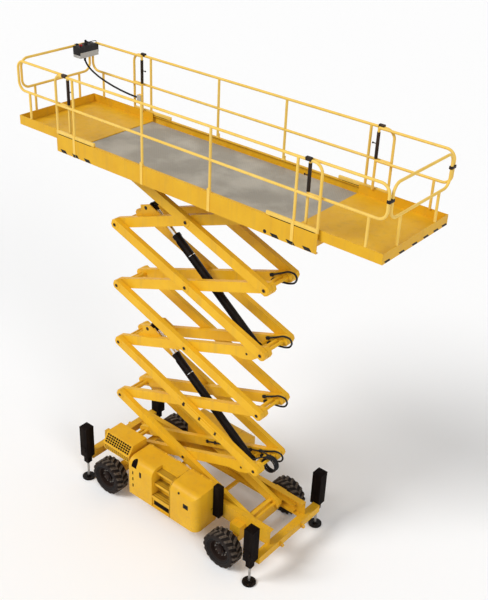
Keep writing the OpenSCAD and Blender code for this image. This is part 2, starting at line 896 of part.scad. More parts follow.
// Stringers under the joists with the hangers of the top pivots and the tracks of the top rollers
module deck_runners() {
    top = deck_z - joist_h;
    low = top - stringer_h;
    run_z = top_z - roller_r - slide - track_t;
    track_in = stack_half + arm_gap;
    track_out = hang_y + stringer_w;
    track_x0 = pivot_x + arm_len * track_shares[0];
    track_len = arm_len * (track_shares[1] - track_shares[0]);
    color(yellow) both_sides() {
        translate([-beam_len * stringer_share / 2, hang_y, low])
            cube([beam_len * stringer_share, stringer_w, stringer_h]);
        translate([track_x0, track_in, run_z]) cube([track_len, track_out - track_in, track_t]);
        translate([track_x0, track_out - rail_t, run_z]) cube([track_len, rail_t, low - run_z + over]);
        translate([pivot_x, 0, top_z]) difference() {
            plate_y(hang_y, hang_y + hang_t) translate([-hang_half, -hang_low])
                square([2 * hang_half, hang_low + low - top_z + over]);
            bar_y(pin_r + run, 0, beam_half);
        }
    }
}

module main_deck() {
    half = beam_len / 2 - 2 * play;
    color(grey) translate([-half, -deck_half, deck_z]) cube([2 * half, 2 * deck_half, deck_t]);
}

// A straight tube along X
module tube_x(x0, x1, z) {
    translate([0, 0, z]) bar_x(tube_r, x0, x1);
}

// A straight post
module post(x, z0, z1) {
    translate([x, 0, z0]) cylinder(r = tube_r, h = z1 - z0);
}

// A quarter bend from a level run to a post, its outer end toward +X
module bend(x, z) {
    translate([x - bend_r, 0, z - bend_r]) rotate([90, 0, 0]) rotate_extrude(angle = 90)
        translate([bend_r, 0]) circle(r = tube_r);
}

// A strap down the side beam's face that holds a post
module post_strap(x) {
    translate([x - rib_w / 2, beam_half, beam_z]) cube([rib_w, rib_t, beam_h + rib_up]);
    translate([x - rib_w / 2, main_rail_y, beam_z + beam_h])
        cube([rib_w, beam_half - main_rail_y + over, rib_up]);
}

module main_rails(side) {
    x1 = beam_len / 2 - tube_r;
    z0 = beam_z + beam_h;
    color(yellow) on_side(side) {
        translate([0, main_rail_y, 0]) {
            tube_x(-x1 + bend_r, x1 - bend_r, top_rail_z);
            tube_x(-x1, x1, mid_rail_z);
            for (m = [0, 1]) mirror([m, 0, 0]) {
                bend(x1, top_rail_z);
                post(x1, z0, top_rail_z - bend_r);
            }
            for (s = post_shares) post(s * beam_len, z0, top_rail_z);
        }
        for (s = post_shares) post_strap(s * beam_len);
    }
}

module extension(end) {
    color(yellow) mirror([end > 0 ? 0 : 1, 0, 0]) {
        both_sides() translate([ext_in, ext_half - toe_t, toe_z]) cube([ext_len, toe_t, toe_h]);
        translate([ext_end - toe_t, -ext_half, toe_z]) cube([toe_t, 2 * ext_half, toe_h]);
        translate([ext_in, -ext_half + toe_t - over, ext_floor_z])
            cube([ext_len - over, 2 * (ext_half - toe_t + over), ext_floor_t]);
    }
}

// Side loop of an extension's guardrail
module ext_side_rail() {
    x1 = ext_end - tube_r - toe_t;
    tube_x(ext_rail_in, x1 - bend_r, top_rail_z);
    tube_x(ext_rail_in, x1 - bend_r, mid_rail_z);
    bend(x1, top_rail_z);
    mirror([0, 0, 1]) bend(x1, -mid_rail_z);
    post(x1, mid_rail_z + bend_r, top_rail_z - bend_r);
    post(ext_rail_in, toe_z + toe_h, top_rail_z);
    post(x1 - inset, toe_z + toe_h, mid_rail_z);
}

// End loop of an extension's guardrail
module end_rail(end) {
    half = ext_rail_y - end_gap;
    color(yellow) mirror([end > 0 ? 0 : 1, 0, 0]) translate([ext_end - tube_r, 0, 0]) rotate([0, 0, 90]) {
        tube_x(-half + bend_r, half - bend_r, top_rail_z);
        tube_x(-half + bend_r, half - bend_r, mid_rail_z);
        for (m = [0, 1]) mirror([m, 0, 0]) {
            bend(half, top_rail_z);
            mirror([0, 0, 1]) bend(half, -mid_rail_z);
            post(half, mid_rail_z + bend_r, top_rail_z - bend_r);
            post(half - inset, toe_z + toe_h, mid_rail_z);
        }
    }
}

// Side loops of an extension, and on the left one the box where the cable ends
module ext_rails(end) {
    box_out = ext_rail_y - tube_r + over;
    color(yellow) {
        mirror([end > 0 ? 0 : 1, 0, 0]) both_sides() translate([0, ext_rail_y, 0]) ext_side_rail();
        if (end < 0)
            translate([cable_end[0], box_out - joint_box[1], cable_end[2] - joint_box[2] / 2])
                cube(joint_box);
    }
}

// Control box hooked over the left end rail, with its joystick and cable gland
module control_box() {
    top = top_rail_z + tube_r;
    color(grey) {
        translate([box_x, box_y, box_z]) cube(box_size);
        for (s = hook_shares) translate([box_x - tube_d + hook_t, box_y + s * box_size[1], 0]) {
            translate([0, 0, top]) cube([tube_d, hook_w, hook_t]);
            translate([tube_d - hook_t, 0, top - 2 * pod_gap]) cube([hook_t, hook_w, 2 * pod_gap + hook_t]);
        }
        translate([box_x + box_size[0] / 2, box_y + box_size[1] / 2, box_z])
            cylinder(r = stick_r, h = box_size[2] + stick_h);
        translate(cable_start) cylinder(r = gland_r, h = gland_drop + over);
    }
}

// A ring of the cable's skin round one place of its route
function cable_ring(i) =
    let (
        last = len(cable_line) - 1,
        d = cable_line[min(i + 1, last)] - cable_line[max(i - 1, 0)],
        ends = i == 0 ? [0, 0, -1] : i == last ? [1, 0, 0] : d / norm(d),
        side = cross(ends, [0, 1, 0]),
        u = side / norm(side),
        v = cross(u, ends)
    )
    [for (k = [0 : cable_sides - 1])
        let (t = k * 360 / cable_sides)
        cable_start + cable_line[i] + cable_r * (cos(t) * v + sin(t) * u)
    ];

// Cable that hangs from the control box to the joint box
module cable() {
    n = cable_sides;
    last = len(cable_line) - 1;
    color(black) polyhedron(
        points = [for (i = [0 : last]) each cable_ring(i)],
        faces = concat(
            [[for (k = [0 : n - 1]) k]],
            [for (i = [0 : last - 1], k = [0 : n - 1])
                [i * n + k, (i + 1) * n + k, (i + 1) * n + (k + 1) % n, i * n + (k + 1) % n]],
            [[for (k = [0 : n - 1]) last * n + n - 1 - k]]
        )
    );
}

chassis_frame();
rail(-1);  // rail_near
rail(1);  // rail_far
jack_boxes();
axle_front();
axle_rear();
engine();
side_pods();
grille_cover();
hose_guard();
cover(cover_rear_x, cover_seam_x, -1);  // cover_near_rear
cover(cover_seam_x + seam_gap, cover_front_x, -1);  // cover_near_front
cover(cover_rear_x, cover_seam_x, 1);  // cover_far_rear
cover(cover_seam_x + seam_gap, cover_far_x, 1);  // cover_far_front
jack_leg(jack_front_x, -1);  // jack_front_near
jack_leg(jack_front_x, 1);  // jack_front_far
jack_leg(jack_rear_x, -1);  // jack_rear_near
jack_leg(jack_rear_x, 1);  // jack_rear_far
knuckle(-1);  // knuckle_near
knuckle(1);  // knuckle_far
tyre(front_x, -1);  // tyre_front_near
tyre(front_x, 1);  // tyre_front_far
tyre(rear_x, -1);  // tyre_rear_near
tyre(rear_x, 1);  // tyre_rear_far
rim(front_x, -1);  // rim_front_near
rim(front_x, 1);  // rim_front_far
rim(rear_x, -1);  // rim_rear_near
rim(rear_x, 1);  // rim_rear_far
inner_pair(1);  // inner_arms_1
inner_pair(2);  // inner_arms_2
inner_pair(3);  // inner_arms_3
inner_pair(4);  // inner_arms_4
inner_pair(5);  // inner_arms_5
outer_pair(1);  // outer_arms_1
outer_pair(2);  // outer_arms_2
outer_pair(3);  // outer_arms_3
outer_pair(4);  // outer_arms_4
outer_pair(5);  // outer_arms_5
barrel(1);  // lower_barrel
rod(1);  // lower_rod
barrel(3);  // upper_barrel
rod(3);  // upper_rod
side_beams();
deck_joists();
deck_runners();
main_deck();
main_rails(-1);  // rails_near
main_rails(1);  // rails_far
extension(-1);  // extension_left
ext_rails(-1);  // rails_left
end_rail(-1);  // end_rail_left
extension(1);  // extension_right
ext_rails(1);  // rails_right
end_rail(1);  // end_rail_right
control_box();
cable();
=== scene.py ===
import json
import math

import bpy
import numpy as np
from mathutils import Matrix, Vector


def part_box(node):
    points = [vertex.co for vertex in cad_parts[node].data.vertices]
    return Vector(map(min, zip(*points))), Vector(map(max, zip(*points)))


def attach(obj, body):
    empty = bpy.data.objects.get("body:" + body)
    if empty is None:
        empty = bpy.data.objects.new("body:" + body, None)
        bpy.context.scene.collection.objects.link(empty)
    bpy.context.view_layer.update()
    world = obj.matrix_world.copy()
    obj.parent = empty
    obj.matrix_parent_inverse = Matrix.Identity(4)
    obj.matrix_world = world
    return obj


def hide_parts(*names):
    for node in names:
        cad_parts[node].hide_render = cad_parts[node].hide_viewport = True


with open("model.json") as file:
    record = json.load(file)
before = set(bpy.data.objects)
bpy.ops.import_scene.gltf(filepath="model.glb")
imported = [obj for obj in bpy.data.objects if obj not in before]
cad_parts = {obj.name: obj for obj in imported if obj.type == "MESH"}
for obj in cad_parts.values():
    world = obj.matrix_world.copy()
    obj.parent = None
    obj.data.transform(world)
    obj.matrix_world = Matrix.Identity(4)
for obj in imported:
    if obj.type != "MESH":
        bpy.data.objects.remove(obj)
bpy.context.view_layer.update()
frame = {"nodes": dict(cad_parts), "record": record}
nodes = frame["nodes"]
joints = {j["name"]: j for j in frame["record"]["behaviour"]["joints"]}
nearFar = ((-1, "near"), (1, "far"))
print("frame loaded:", len(nodes), "nodes")

# camera, floor and light

cameraSettings = {
    "place": (9.0355, -10.4524, 12.6639),  # metres
    "azimuth": 38.478,  # degrees
    "elevation": 30.354,
    "roll": 2.692,
    "focalShare": 948.32 / 600,  # focal length over the picture's height
    "sensor": 36.0,  # mm on the long side
    "farClip": 200.0,
}


# the camera's axes: right lies level, up is square to it, and both turn by the roll
def makeCamera(s):
    az, el, roll = (math.radians(s[k]) for k in ("azimuth", "elevation", "roll"))
    back = np.array([math.sin(az) * math.cos(el), -math.cos(az) * math.cos(el), math.sin(el)])
    level = np.array([math.cos(az), math.sin(az), 0.0])
    up = np.cross(back, level)
    right = level * math.cos(roll) + up * math.sin(roll)
    top = up * math.cos(roll) - level * math.sin(roll)
    data = bpy.data.cameras.new("photoCamera")
    data.sensor_width = s["sensor"]
    data.lens = s["focalShare"] * s["sensor"]
    data.clip_end = s["farClip"]
    cam = bpy.data.objects.new("photoCamera", data)
    cam.matrix_world = Matrix([[right[i], top[i], back[i], s["place"][i]] for i in range(3)] + [[0, 0, 0, 1]])
    bpy.context.collection.objects.link(cam)
    bpy.context.scene.camera = cam


makeCamera(cameraSettings)

studioSettings = {
    "floorHalf": 120.0,
    "floorColour": (0.97, 0.97, 0.97, 1),
    "floorRough": 0.9,
    "sky": 0.56,
    "keyPower": 1.95,
    "keyFrom": (-0.42, -0.72, 0.80),
    "fillPower": 0.85,
    "fillFrom": (0.9, -0.35, 0.5),
    "soft": 24.0,  # degrees that each sun is wide
}


# a sun whose own Z axis points back at its source
def aimedSun(name, power, soft, source):
    data = bpy.data.lights.new(name, "SUN")
    data.energy = power
    data.angle = math.radians(soft)
    lamp = bpy.data.objects.new(name, data)
    z = np.array(source) / np.linalg.norm(source)
    x = np.cross([0, 0, 1], z)
    x /= np.linalg.norm(x)
    y = np.cross(z, x)
    lamp.matrix_world = Matrix([[x[i], y[i], z[i], 0] for i in range(3)] + [[0, 0, 0, 1]])
    bpy.context.collection.objects.link(lamp)


def makeFloor(s):
    h = s["floorHalf"]
    mesh = bpy.data.meshes.new("floor")
    mesh.from_pydata([(-h, -h, 0), (h, -h, 0), (h, h, 0), (-h, h, 0)], [], [(0, 1, 2, 3)])
    floor = bpy.data.objects.new("floor", mesh)
    bpy.context.collection.objects.link(floor)
    mat = bpy.data.materials.new("paleFloor")
    mat.use_nodes = True
    skin = mat.node_tree.nodes["Principled BSDF"]
    skin.inputs["Base Color"].default_value = s["floorColour"]
    skin.inputs["Roughness"].default_value = s["floorRough"]
    mesh.materials.append(mat)


# soft light from all round, and plain white wherever the camera or a reflection sees the sky
def makeSky(s):
    world = bpy.data.worlds.new("studio")
    bpy.context.scene.world = world
    world.use_nodes = True
    tree = world.node_tree
    tree.nodes.clear()
    out = tree.nodes.new("ShaderNodeOutputWorld")
    path = tree.nodes.new("ShaderNodeLightPath")
    soft = tree.nodes.new("ShaderNodeBackground")
    soft.inputs["Strength"].default_value = s["sky"]
    white = tree.nodes.new("ShaderNodeBackground")
    white.inputs["Color"].default_value = (1, 1, 1, 1)
    mix = tree.nodes.new("ShaderNodeMixShader")
    seen = tree.nodes.new("ShaderNodeMath")
    seen.operation = "MAXIMUM"
    tree.links.new(path.outputs["Is Camera Ray"], seen.inputs[0])
    tree.links.new(path.outputs["Is Glossy Ray"], seen.inputs[1])
    tree.links.new(seen.outputs[0], mix.inputs[0])
    tree.links.new(soft.outputs[0], mix.inputs[1])
    tree.links.new(white.outputs[0], mix.inputs[2])
    tree.links.new(mix.outputs[0], out.inputs[0])


makeFloor(studioSettings)
makeSky(studioSettings)
for sun in ("key", "fill"):
    power, source = (studioSettings[sun + k] for k in ("Power", "From"))
    aimedSun(sun + "Sun", power, studioSettings["soft"], source)
bpy.context.scene.view_settings.view_transform = "Standard"
print("camera and studio ready")

# finishes


def newFinish(name):
    mat = bpy.data.materials.new(name)
    mat.use_nodes = True
    tree = mat.node_tree
    return mat, tree, tree.nodes["Principled BSDF"]


def objectPoint(tree):
    return tree.nodes.new("ShaderNodeTexCoord").outputs["Object"]


# a point scaled, turned about Z and then shifted
def mapped(tree, point, scale=(1, 1, 1), shift=(0, 0, 0), turn=0.0):
    node = tree.nodes.new("ShaderNodeMapping")
    node.inputs["Scale"].default_value = scale
    node.inputs["Location"].default_value = shift
    node.inputs["Rotation"].default_value = (0, 0, math.radians(turn))
    tree.links.new(point, node.inputs["Vector"])
    return node.outputs[0]


def cloud(tree, point, scale, detail, rough=0.55):
    node = tree.nodes.new("ShaderNodeTexNoise")
    node.inputs["Scale"].default_value = scale
    node.inputs["Detail"].default_value = detail
    node.inputs["Roughness"].default_value = rough
    tree.links.new(point, node.inputs["Vector"])
    return node.outputs["Fac"]


# a value between a and b becomes one between c and d, held at the ends
def span(tree, value, a, b, c, d):
    node = tree.nodes.new("ShaderNodeMapRange")
    for k, v in zip(("From Min", "From Max", "To Min", "To Max"), (a, b, c, d)):
        node.inputs[k].default_value = v
    tree.links.new(value, node.inputs["Value"])
    return node.outputs["Result"]


# patches of a cloud: its scale, detail and roughness, its low and high level, and what is given at each
def patches(tree, point, pattern):
    scale, detail, rough, low, high, least, most = pattern
    return span(tree, cloud(tree, point, scale, detail, rough), low, high, least, most)


# two colours, or colour sockets, mixed by a share
def tint(tree, share, first, second):
    node = tree.nodes.new("ShaderNodeMix")
    node.data_type = "RGBA"
    for socket, v in ((node.inputs[6], first), (node.inputs[7], second)):
        if isinstance(v, tuple):
            socket.default_value = v
        else:
            tree.links.new(v, socket)
    tree.links.new(share, node.inputs[0])
    return node.outputs[2]


def times(tree, a, b):
    node = tree.nodes.new("ShaderNodeMath")
    node.operation = "MULTIPLY"
    tree.links.new(a, node.inputs[0])
    tree.links.new(b, node.inputs[1])
    return node.outputs[0]


def relief(tree, skin, height, strength, depth):
    node = tree.nodes.new("ShaderNodeBump")
    node.inputs["Strength"].default_value = strength
    node.inputs["Distance"].default_value = depth
    tree.links.new(height, node.inputs["Height"])
    tree.links.new(node.outputs[0], skin.inputs["Normal"])


def axisValue(tree, point, axis):
    node = tree.nodes.new("ShaderNodeSeparateXYZ")
    tree.links.new(point, node.inputs[0])
    return node.outputs[axis]


def distanceTo(tree, point, spot):
    node = tree.nodes.new("ShaderNodeVectorMath")
    node.operation = "DISTANCE"
    node.inputs[1].default_value = spot
    tree.links.new(point, node.inputs[0])
    return node.outputs["Value"]


# share of a rounded edge: how far the normal bent over an edge's radius turns from the face's own,
# between the cosines at which the edge begins and is full
def edgeShare(tree, radius, begins, full):
    bent = tree.nodes.new("ShaderNodeBevel")
    bent.samples = 4
    bent.inputs["Radius"].default_value = radius
    flat = tree.nodes.new("ShaderNodeNewGeometry")
    dot = tree.nodes.new("ShaderNodeVectorMath")
    dot.operation = "DOT_PRODUCT"
    tree.links.new(bent.outputs[0], dot.inputs[0])
    tree.links.new(flat.outputs["Normal"], dot.inputs[1])
    return span(tree, dot.outputs["Value"], begins, full, 0.0, 1.0)


# painted steel: a broad cloud shifts the tone, upright streaks and low dirt dull it, and edges chip to
# bare primer
paintSettings = {
    "broad": (2.3, 5, 0.55, 0.3, 0.7, 0.0, 1.0),
    "streaks": (1.0, 5, 0.55, 0.52, 0.8, 0.0, 0.22),
    "hang": (9.0, 9.0, 0.7),  # the streaks' stretch
    "specks": (34.0, 6, 0.7, 0.52, 0.74, 0.0, 1.0),
    "highDirt": 0.06,  # specks left above the dirty part
    "chips": (17.0, 5, 0.65, 0.5, 0.62, 0.0, 0.8),
    "chipEdge": (0.007, 0.995, 0.86),  # radius, cosines
    "dull": (11.0, 5, 0.55, 0.3, 0.7),
    "dullMore": 0.16,  # roughness added where the paint is dull
    "ripple": (240.0, 2),
    "rippleDepth": (0.05, 0.002),
}


# dirtUp gives the height up to which dirt is thickest, the height where it ends, and its share
def paintFinish(name, base, deep, dirt, dirtUp, gloss=0.36, shine=0.2, chip=None):
    s = paintSettings
    mat, tree, skin = newFinish(name)
    p = objectPoint(tree)
    tone = tint(tree, patches(tree, p, s["broad"]), base, deep)
    tone = tint(tree, patches(tree, mapped(tree, p, s["hang"]), s["streaks"]), tone, dirt)
    low = span(tree, axisValue(tree, p, 2), *dirtUp, s["highDirt"])
    tone = tint(tree, times(tree, patches(tree, p, s["specks"]), low), tone, dirt)
    if chip:
        worn = times(tree, edgeShare(tree, *s["chipEdge"]), patches(tree, p, s["chips"]))
        tone = tint(tree, worn, tone, chip)
    tree.links.new(tone, skin.inputs["Base Color"])
    skin.inputs["Specular IOR Level"].default_value = shine
    dull = patches(tree, p, s["dull"] + (gloss, gloss + s["dullMore"]))
    tree.links.new(dull, skin.inputs["Roughness"])
    relief(tree, skin, cloud(tree, p, *s["ripple"]), *s["rippleDepth"])
    return mat


# bare steel: fine brushed streaks along one axis with slight stains, painted black below a height, or dark
# with scuffs round an eye
steelSettings = {
    "grain": (60.0, 3),
    "grainDepth": (0.04, 0.001),
    "grainLevels": (0.3, 0.7),
    "grainMore": 0.14,  # roughness added along the grain
    "stains": (9.0, 5, 0.55, 0.5, 0.8, 0.0, 0.7),
    "scuffs": (30.0, 5, 0.55, 0.5, 0.75, 0.0, 0.6),
    "eyeReach": 0.13,
    "border": 0.001,
    "shine": 0.1,
}


def steelFinish(name, base, stain, rough, streak, paintTop=None, eye=None):
    s = steelSettings
    mat, tree, skin = newFinish(name)
    p = objectPoint(tree)
    grain = cloud(tree, mapped(tree, p, streak), *s["grain"])
    tone = tint(tree, patches(tree, p, s["stains"]), base, stain)
    skin.inputs["Metallic"].default_value = 1.0
    if paintTop or eye:
        measure = distanceTo(tree, p, eye) if eye else axisValue(tree, p, 2)
        level = s["eyeReach"] if eye else paintTop
        bare = span(tree, measure, level, level + s["border"], 0.0, 1.0)
        scuff = tint(tree, patches(tree, p, s["scuffs"]), soot, dust)
        tone = tint(tree, bare, scuff, tone)
        tree.links.new(bare, skin.inputs["Metallic"])
        skin.inputs["Specular IOR Level"].default_value = s["shine"]
    tree.links.new(tone, skin.inputs["Base Color"])
    dull = span(tree, grain, *s["grainLevels"], rough, rough + s["grainMore"])
    tree.links.new(dull, skin.inputs["Roughness"])
    relief(tree, skin, grain, *s["grainDepth"])
    return mat


# tyre rubber: dusty between the lugs and paler on their worn tips, by distance from the axle
tyreSettings = {
    "rubber": (0.020, 0.015, 0.013, 1),
    "worn": (0.17, 0.135, 0.105, 1),
    "tipDepth": 0.03,
    "grit": (26.0, 6, 0.7, 0.35, 0.7, 0.1, 1.0),
    "rough": 0.82,
    "shine": 0.12,
    "pits": (90.0, 4),
    "pitDepth": (0.25, 0.004),
}


def tyreFinish(name, centre, tip):
    s = tyreSettings
    mat, tree, skin = newFinish(name)
    p = objectPoint(tree)
    far = tree.nodes.new("ShaderNodeVectorMath")
    far.operation = "LENGTH"
    tree.links.new(mapped(tree, p, (1, 0, 1), (-centre[0], 0, -centre[2])), far.inputs[0])
    worn = span(tree, far.outputs["Value"], tip - s["tipDepth"], tip, 0.0, 1.0)
    share = times(tree, worn, patches(tree, p, s["grit"]))
    tree.links.new(tint(tree, share, s["rubber"], s["worn"]), skin.inputs["Base Color"])
    skin.inputs["Roughness"].default_value = s["rough"]
    skin.inputs["Specular IOR Level"].default_value = s["shine"]
    relief(tree, skin, cloud(tree, p, *s["pits"]), *s["pitDepth"])
    return mat


# deck plate: raised round studs at the points of a slanted even grid, worn pale on the walkways
deckSettings = {
    "steel": (0.30, 0.27, 0.22, 1),
    "worn": (0.45, 0.41, 0.34, 1),
    "slant": 45.0,  # degrees
    "studs": 28.0,  # per metre
    "studEdge": (0.2, 0.34),
    "studDepth": (0.5, 0.003),
    "rub": (1.8, 5, 0.55, 0.42, 0.66, 0.0, 0.8),
    "rough": 0.6,
}


def deckFinish(name):
    s = deckSettings
    mat, tree, skin = newFinish(name)
    p = objectPoint(tree)
    studs = tree.nodes.new("ShaderNodeTexVoronoi")
    studs.inputs["Scale"].default_value = s["studs"]
    studs.inputs["Randomness"].default_value = 0.0
    tree.links.new(mapped(tree, p, turn=s["slant"]), studs.inputs["Vector"])
    raised = span(tree, studs.outputs["Distance"], *s["studEdge"], 1.0, 0.0)
    tree.links.new(tint(tree, patches(tree, p, s["rub"]), s["steel"], s["worn"]), skin.inputs["Base Color"])
    skin.inputs["Roughness"].default_value = s["rough"]
    relief(tree, skin, raised, *s["studDepth"])
    return mat


# moulded plastic or rubber: even tone with a fine leathery grain, and a second tone below a height
mouldedSettings = {
    "fade": (14.0, 4, 0.55, 0.35, 0.7, 0.0, 0.5),
    "pale": (1.6, 0.01),  # faded tone: times, plus
    "shine": 0.2,
    "border": 0.001,
    "grain": (420.0, 3),
    "grainDepth": (0.12, 0.001),
}


def mouldedFinish(name, base, rough, lower=None, level=0.0):
    s = mouldedSettings
    mat, tree, skin = newFinish(name)
    p = objectPoint(tree)
    factor, more = s["pale"]
    pale = tuple(min(1.0, v * factor + more) for v in base[:3]) + (1,)
    tone = tint(tree, patches(tree, p, s["fade"]), base, pale)
    if lower:
        above = span(tree, axisValue(tree, p, 2), level, level + s["border"], 0.0, 1.0)
        tone = tint(tree, above, lower, tone)
    tree.links.new(tone, skin.inputs["Base Color"])
    skin.inputs["Roughness"].default_value = rough
    skin.inputs["Specular IOR Level"].default_value = s["shine"]
    relief(tree, skin, cloud(tree, p, *s["grain"]), *s["grainDepth"])
    return mat


gold = (0.80, 0.455, 0.018, 1)
goldDeep = (0.73, 0.385, 0.013, 1)
podGold = (0.73, 0.41, 0.015, 1)
podDeep = (0.67, 0.35, 0.012, 1)
# the rails' cream, paler than the other yellow paints, is partly their paint and partly a painted highlight
# of the thin round tubes
railCreamHighlit = (0.84, 0.57, 0.13, 1)
railDeep = (0.80, 0.51, 0.08, 1)
earth = (0.24, 0.15, 0.07, 1)
primer = (0.10, 0.06, 0.035, 1)
rust = (0.10, 0.07, 0.05, 1)
soot = (0.004, 0.0025, 0.0025, 1)
sootWorn = (0.009, 0.006, 0.005, 1)
dust = (0.06, 0.045, 0.032, 1)
rimBrown = (0.012, 0.007, 0.006, 1)
rimWorn = (0.03, 0.018, 0.014, 1)
castIron = (0.03, 0.03, 0.031, 1)
castWorn = (0.05, 0.047, 0.044, 1)
pinBrown = (0.012, 0.009, 0.008, 1)
pinWorn = (0.04, 0.025, 0.018, 1)
boxDark = (0.012, 0.012, 0.013, 1)
boxPale = (0.42, 0.42, 0.41, 1)
boxSeam = 7.935  # height of the control box's pale part
padTop = 0.063  # height of the black paint on the jack feet
clean = (-1.0, 0.0, 0.1)
chrome = ((0.78, 0.79, 0.8, 1), (0.5, 0.5, 0.5, 1), 0.12, (1, 8, 1))
finishes = {
    "armGold": paintFinish("armGold", gold, goldDeep, earth, (0.2, 1.2, 0.35), chip=primer),
    "chassisGold": paintFinish("chassisGold", podGold, podDeep, earth, (0.35, 1.3, 0.7), chip=primer),
    "railGoldHighlit": paintFinish("railGoldHighlit", railCreamHighlit, railDeep, earth, clean),
    "jackBlack": paintFinish("jackBlack", soot, sootWorn, dust, (0.3, 1.0, 0.4), 0.5, 0.02),
    "barrelBlack": paintFinish("barrelBlack", soot, sootWorn, dust, clean, 0.3, 0.1),
    "rimDark": paintFinish("rimDark", rimBrown, rimWorn, dust, (0.0, 0.6, 0.5), 0.45, 0.1),
    "rodChrome": steelFinish("rodChrome", *chrome),
    "legSteel": steelFinish("legSteel", (0.42, 0.40, 0.38, 1), rust, 0.35, (1, 1, 0.2), padTop),
    "nutSteel": steelFinish("nutSteel", (0.30, 0.28, 0.26, 1), rust, 0.4, (1, 1, 1)),
    "deckPlate": deckFinish("deckPlate"),
    "castGrey": paintFinish("castGrey", castIron, castWorn, earth, (0.2, 1.0, 0.5), 0.55, 0.15),
    "boxGrey": mouldedFinish("boxGrey", boxDark, 0.5, boxPale, boxSeam),
    "blackRubber": mouldedFinish("blackRubber", (0.008, 0.007, 0.007, 1), 0.6),
    "stopRed": mouldedFinish("stopRed", (0.45, 0.012, 0.010, 1), 0.35),
    "pinDark": paintFinish("pinDark", pinBrown, pinWorn, earth, clean, 0.4, 0.12),
}


# each node's finish, by its name
def finishOf(node):
    if node in ("jack_boxes", "hose_guard"):
        return "jackBlack"
    if node.endswith("barrel"):
        return "barrelBlack"
    if node.endswith("_rod"):
        return "rodChrome"
    if node.startswith("rim"):
        return "rimDark"
    if node.startswith("jack_"):
        return "legSteel"
    if node.startswith("knuckle") or node == "engine":
        return "castGrey"
    if node == "main_deck":
        return "deckPlate"
    if node == "control_box":
        return "boxGrey"
    if node == "cable":
        return "blackRubber"
    if "arms" in node:
        return "armGold"
    if node.startswith("rails") or node.startswith("end_rail"):
        return "railGoldHighlit"
    return "chassisGold"


def dress(obj, mat):
    obj.data.materials.clear()
    obj.data.materials.append(mat)


for name, obj in nodes.items():
    if name.startswith("tyre"):
        lo, hi = (np.array(v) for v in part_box(name))
        dress(obj, tyreFinish(name + "Rubber", (lo + hi) / 2, (hi[2] - lo[2]) / 2))
    else:
        dress(obj, finishes[finishOf(name)])
print("finishes on every node")

# surfaces from arrays


# even angles round a circle
def angles(n):
    return np.arange(n) * 2 * np.pi / n


# rings of points joined by quads, each end closed by a fan to its mean point
def loft(rings):
    k, n = rings.shape[:2]
    points = np.vstack([rings.reshape(-1, 3), rings[0].mean(0), rings[-1].mean(0)])
    i, j = np.meshgrid(np.arange(k - 1), np.arange(n), indexing="ij")
    a, b = (i * n + j).ravel(), (i * n + (j + 1) % n).ravel()
    around = np.arange(n)
    after = (around + 1) % n
    low = np.stack([after, around, np.full(n, k * n)], 1)
    high = np.stack([(k - 1) * n + around, (k - 1) * n + after, np.full(n, k * n + 1)], 1)
    return points, np.stack([a, b, b + n, a + n], 1).tolist() + low.tolist() + high.tolist()


# two directions square to an axis, so that the first crossed with the second gives the axis
def squareTo(axis):
    w = np.array(axis, float) / np.linalg.norm(axis)
    u = np.cross([0.0, 0.0, 1.0] if abs(w[2]) < 0.9 else [1.0, 0.0, 0.0], w)
    u /= np.linalg.norm(u)
    return u, np.cross(w, u), w


# a profile of radius and height turned round an axis: base + h*axis + r*(u cos t + v sin t)
def turned(profile, base, axis, sides=20):
    u, v, w = squareTo(axis)
    t = angles(sides)
    circle = np.cos(t)[:, None] * u + np.sin(t)[:, None] * v
    p = np.array(profile, float)
    rings = np.array(base, float) + p[:, 1, None, None] * w + p[:, 0, None, None] * circle[None]
    return loft(rings)


# a ring of tube: a circle of radius r carried round a circle of radius R about an axis
def hoop(centre, axis, bigR, r, around=40, sides=8):
    u, v, w = squareTo(axis)
    t, s = np.meshgrid(angles(around), angles(sides), indexing="ij")
    out = np.cos(t)[..., None] * u + np.sin(t)[..., None] * v
    reach = (bigR + r * np.cos(s))[..., None]
    points = np.array(centre, float) + reach * out + (r * np.sin(s))[..., None] * w
    i, j = np.meshgrid(np.arange(around), np.arange(sides), indexing="ij")
    here, there = i * sides, ((i + 1) % around) * sides
    after = (j + 1) % sides
    quads = np.stack([here + j, there + j, there + after, here + after], -1)
    return points.reshape(-1, 3), quads.reshape(-1, 4).tolist()


# a circle carried along a path, square to the path's own direction at each point
def tube(path, radius, sides=10):
    p = np.array(path, float)
    d = np.gradient(p, axis=0)
    d /= np.linalg.norm(d, axis=1)[:, None]
    ref = np.array([0.0, 1.0, 0.0]) if np.abs(d[:, 1]).max() < 0.95 else np.array([0.31, 0.11, 0.95])
    u = np.cross(ref, d)
    u /= np.linalg.norm(u, axis=1)[:, None]
    v = np.cross(d, u)
    t = angles(sides)[None, :, None]
    return loft(p[:, None] + radius * (np.cos(t) * u[:, None] + np.sin(t) * v[:, None]))


# a straight tube between two points
def rod(start, end, radius, sides):
    return tube(np.linspace(start, end, 3), radius, sides)


# a smooth path through given points: each span is the cubic set by its ends and their neighbours
def smoothPath(points, per=6):
    p = np.array(points, float)
    q = np.vstack([2 * p[0] - p[1], p, 2 * p[-1] - p[-2]])
    t = (np.arange(per) / per)[None, :, None]
    a, b, c, d = (q[k:len(q) - 3 + k, None] for k in range(4))
    square = (2 * a - 5 * b + 4 * c - d) * t ** 2
    cube = (3 * b - a - 3 * c + d) * t ** 3
    run = 0.5 * (2 * b + (c - a) * t + square + cube)
    return np.vstack([run.reshape(-1, 3), p[-1]])


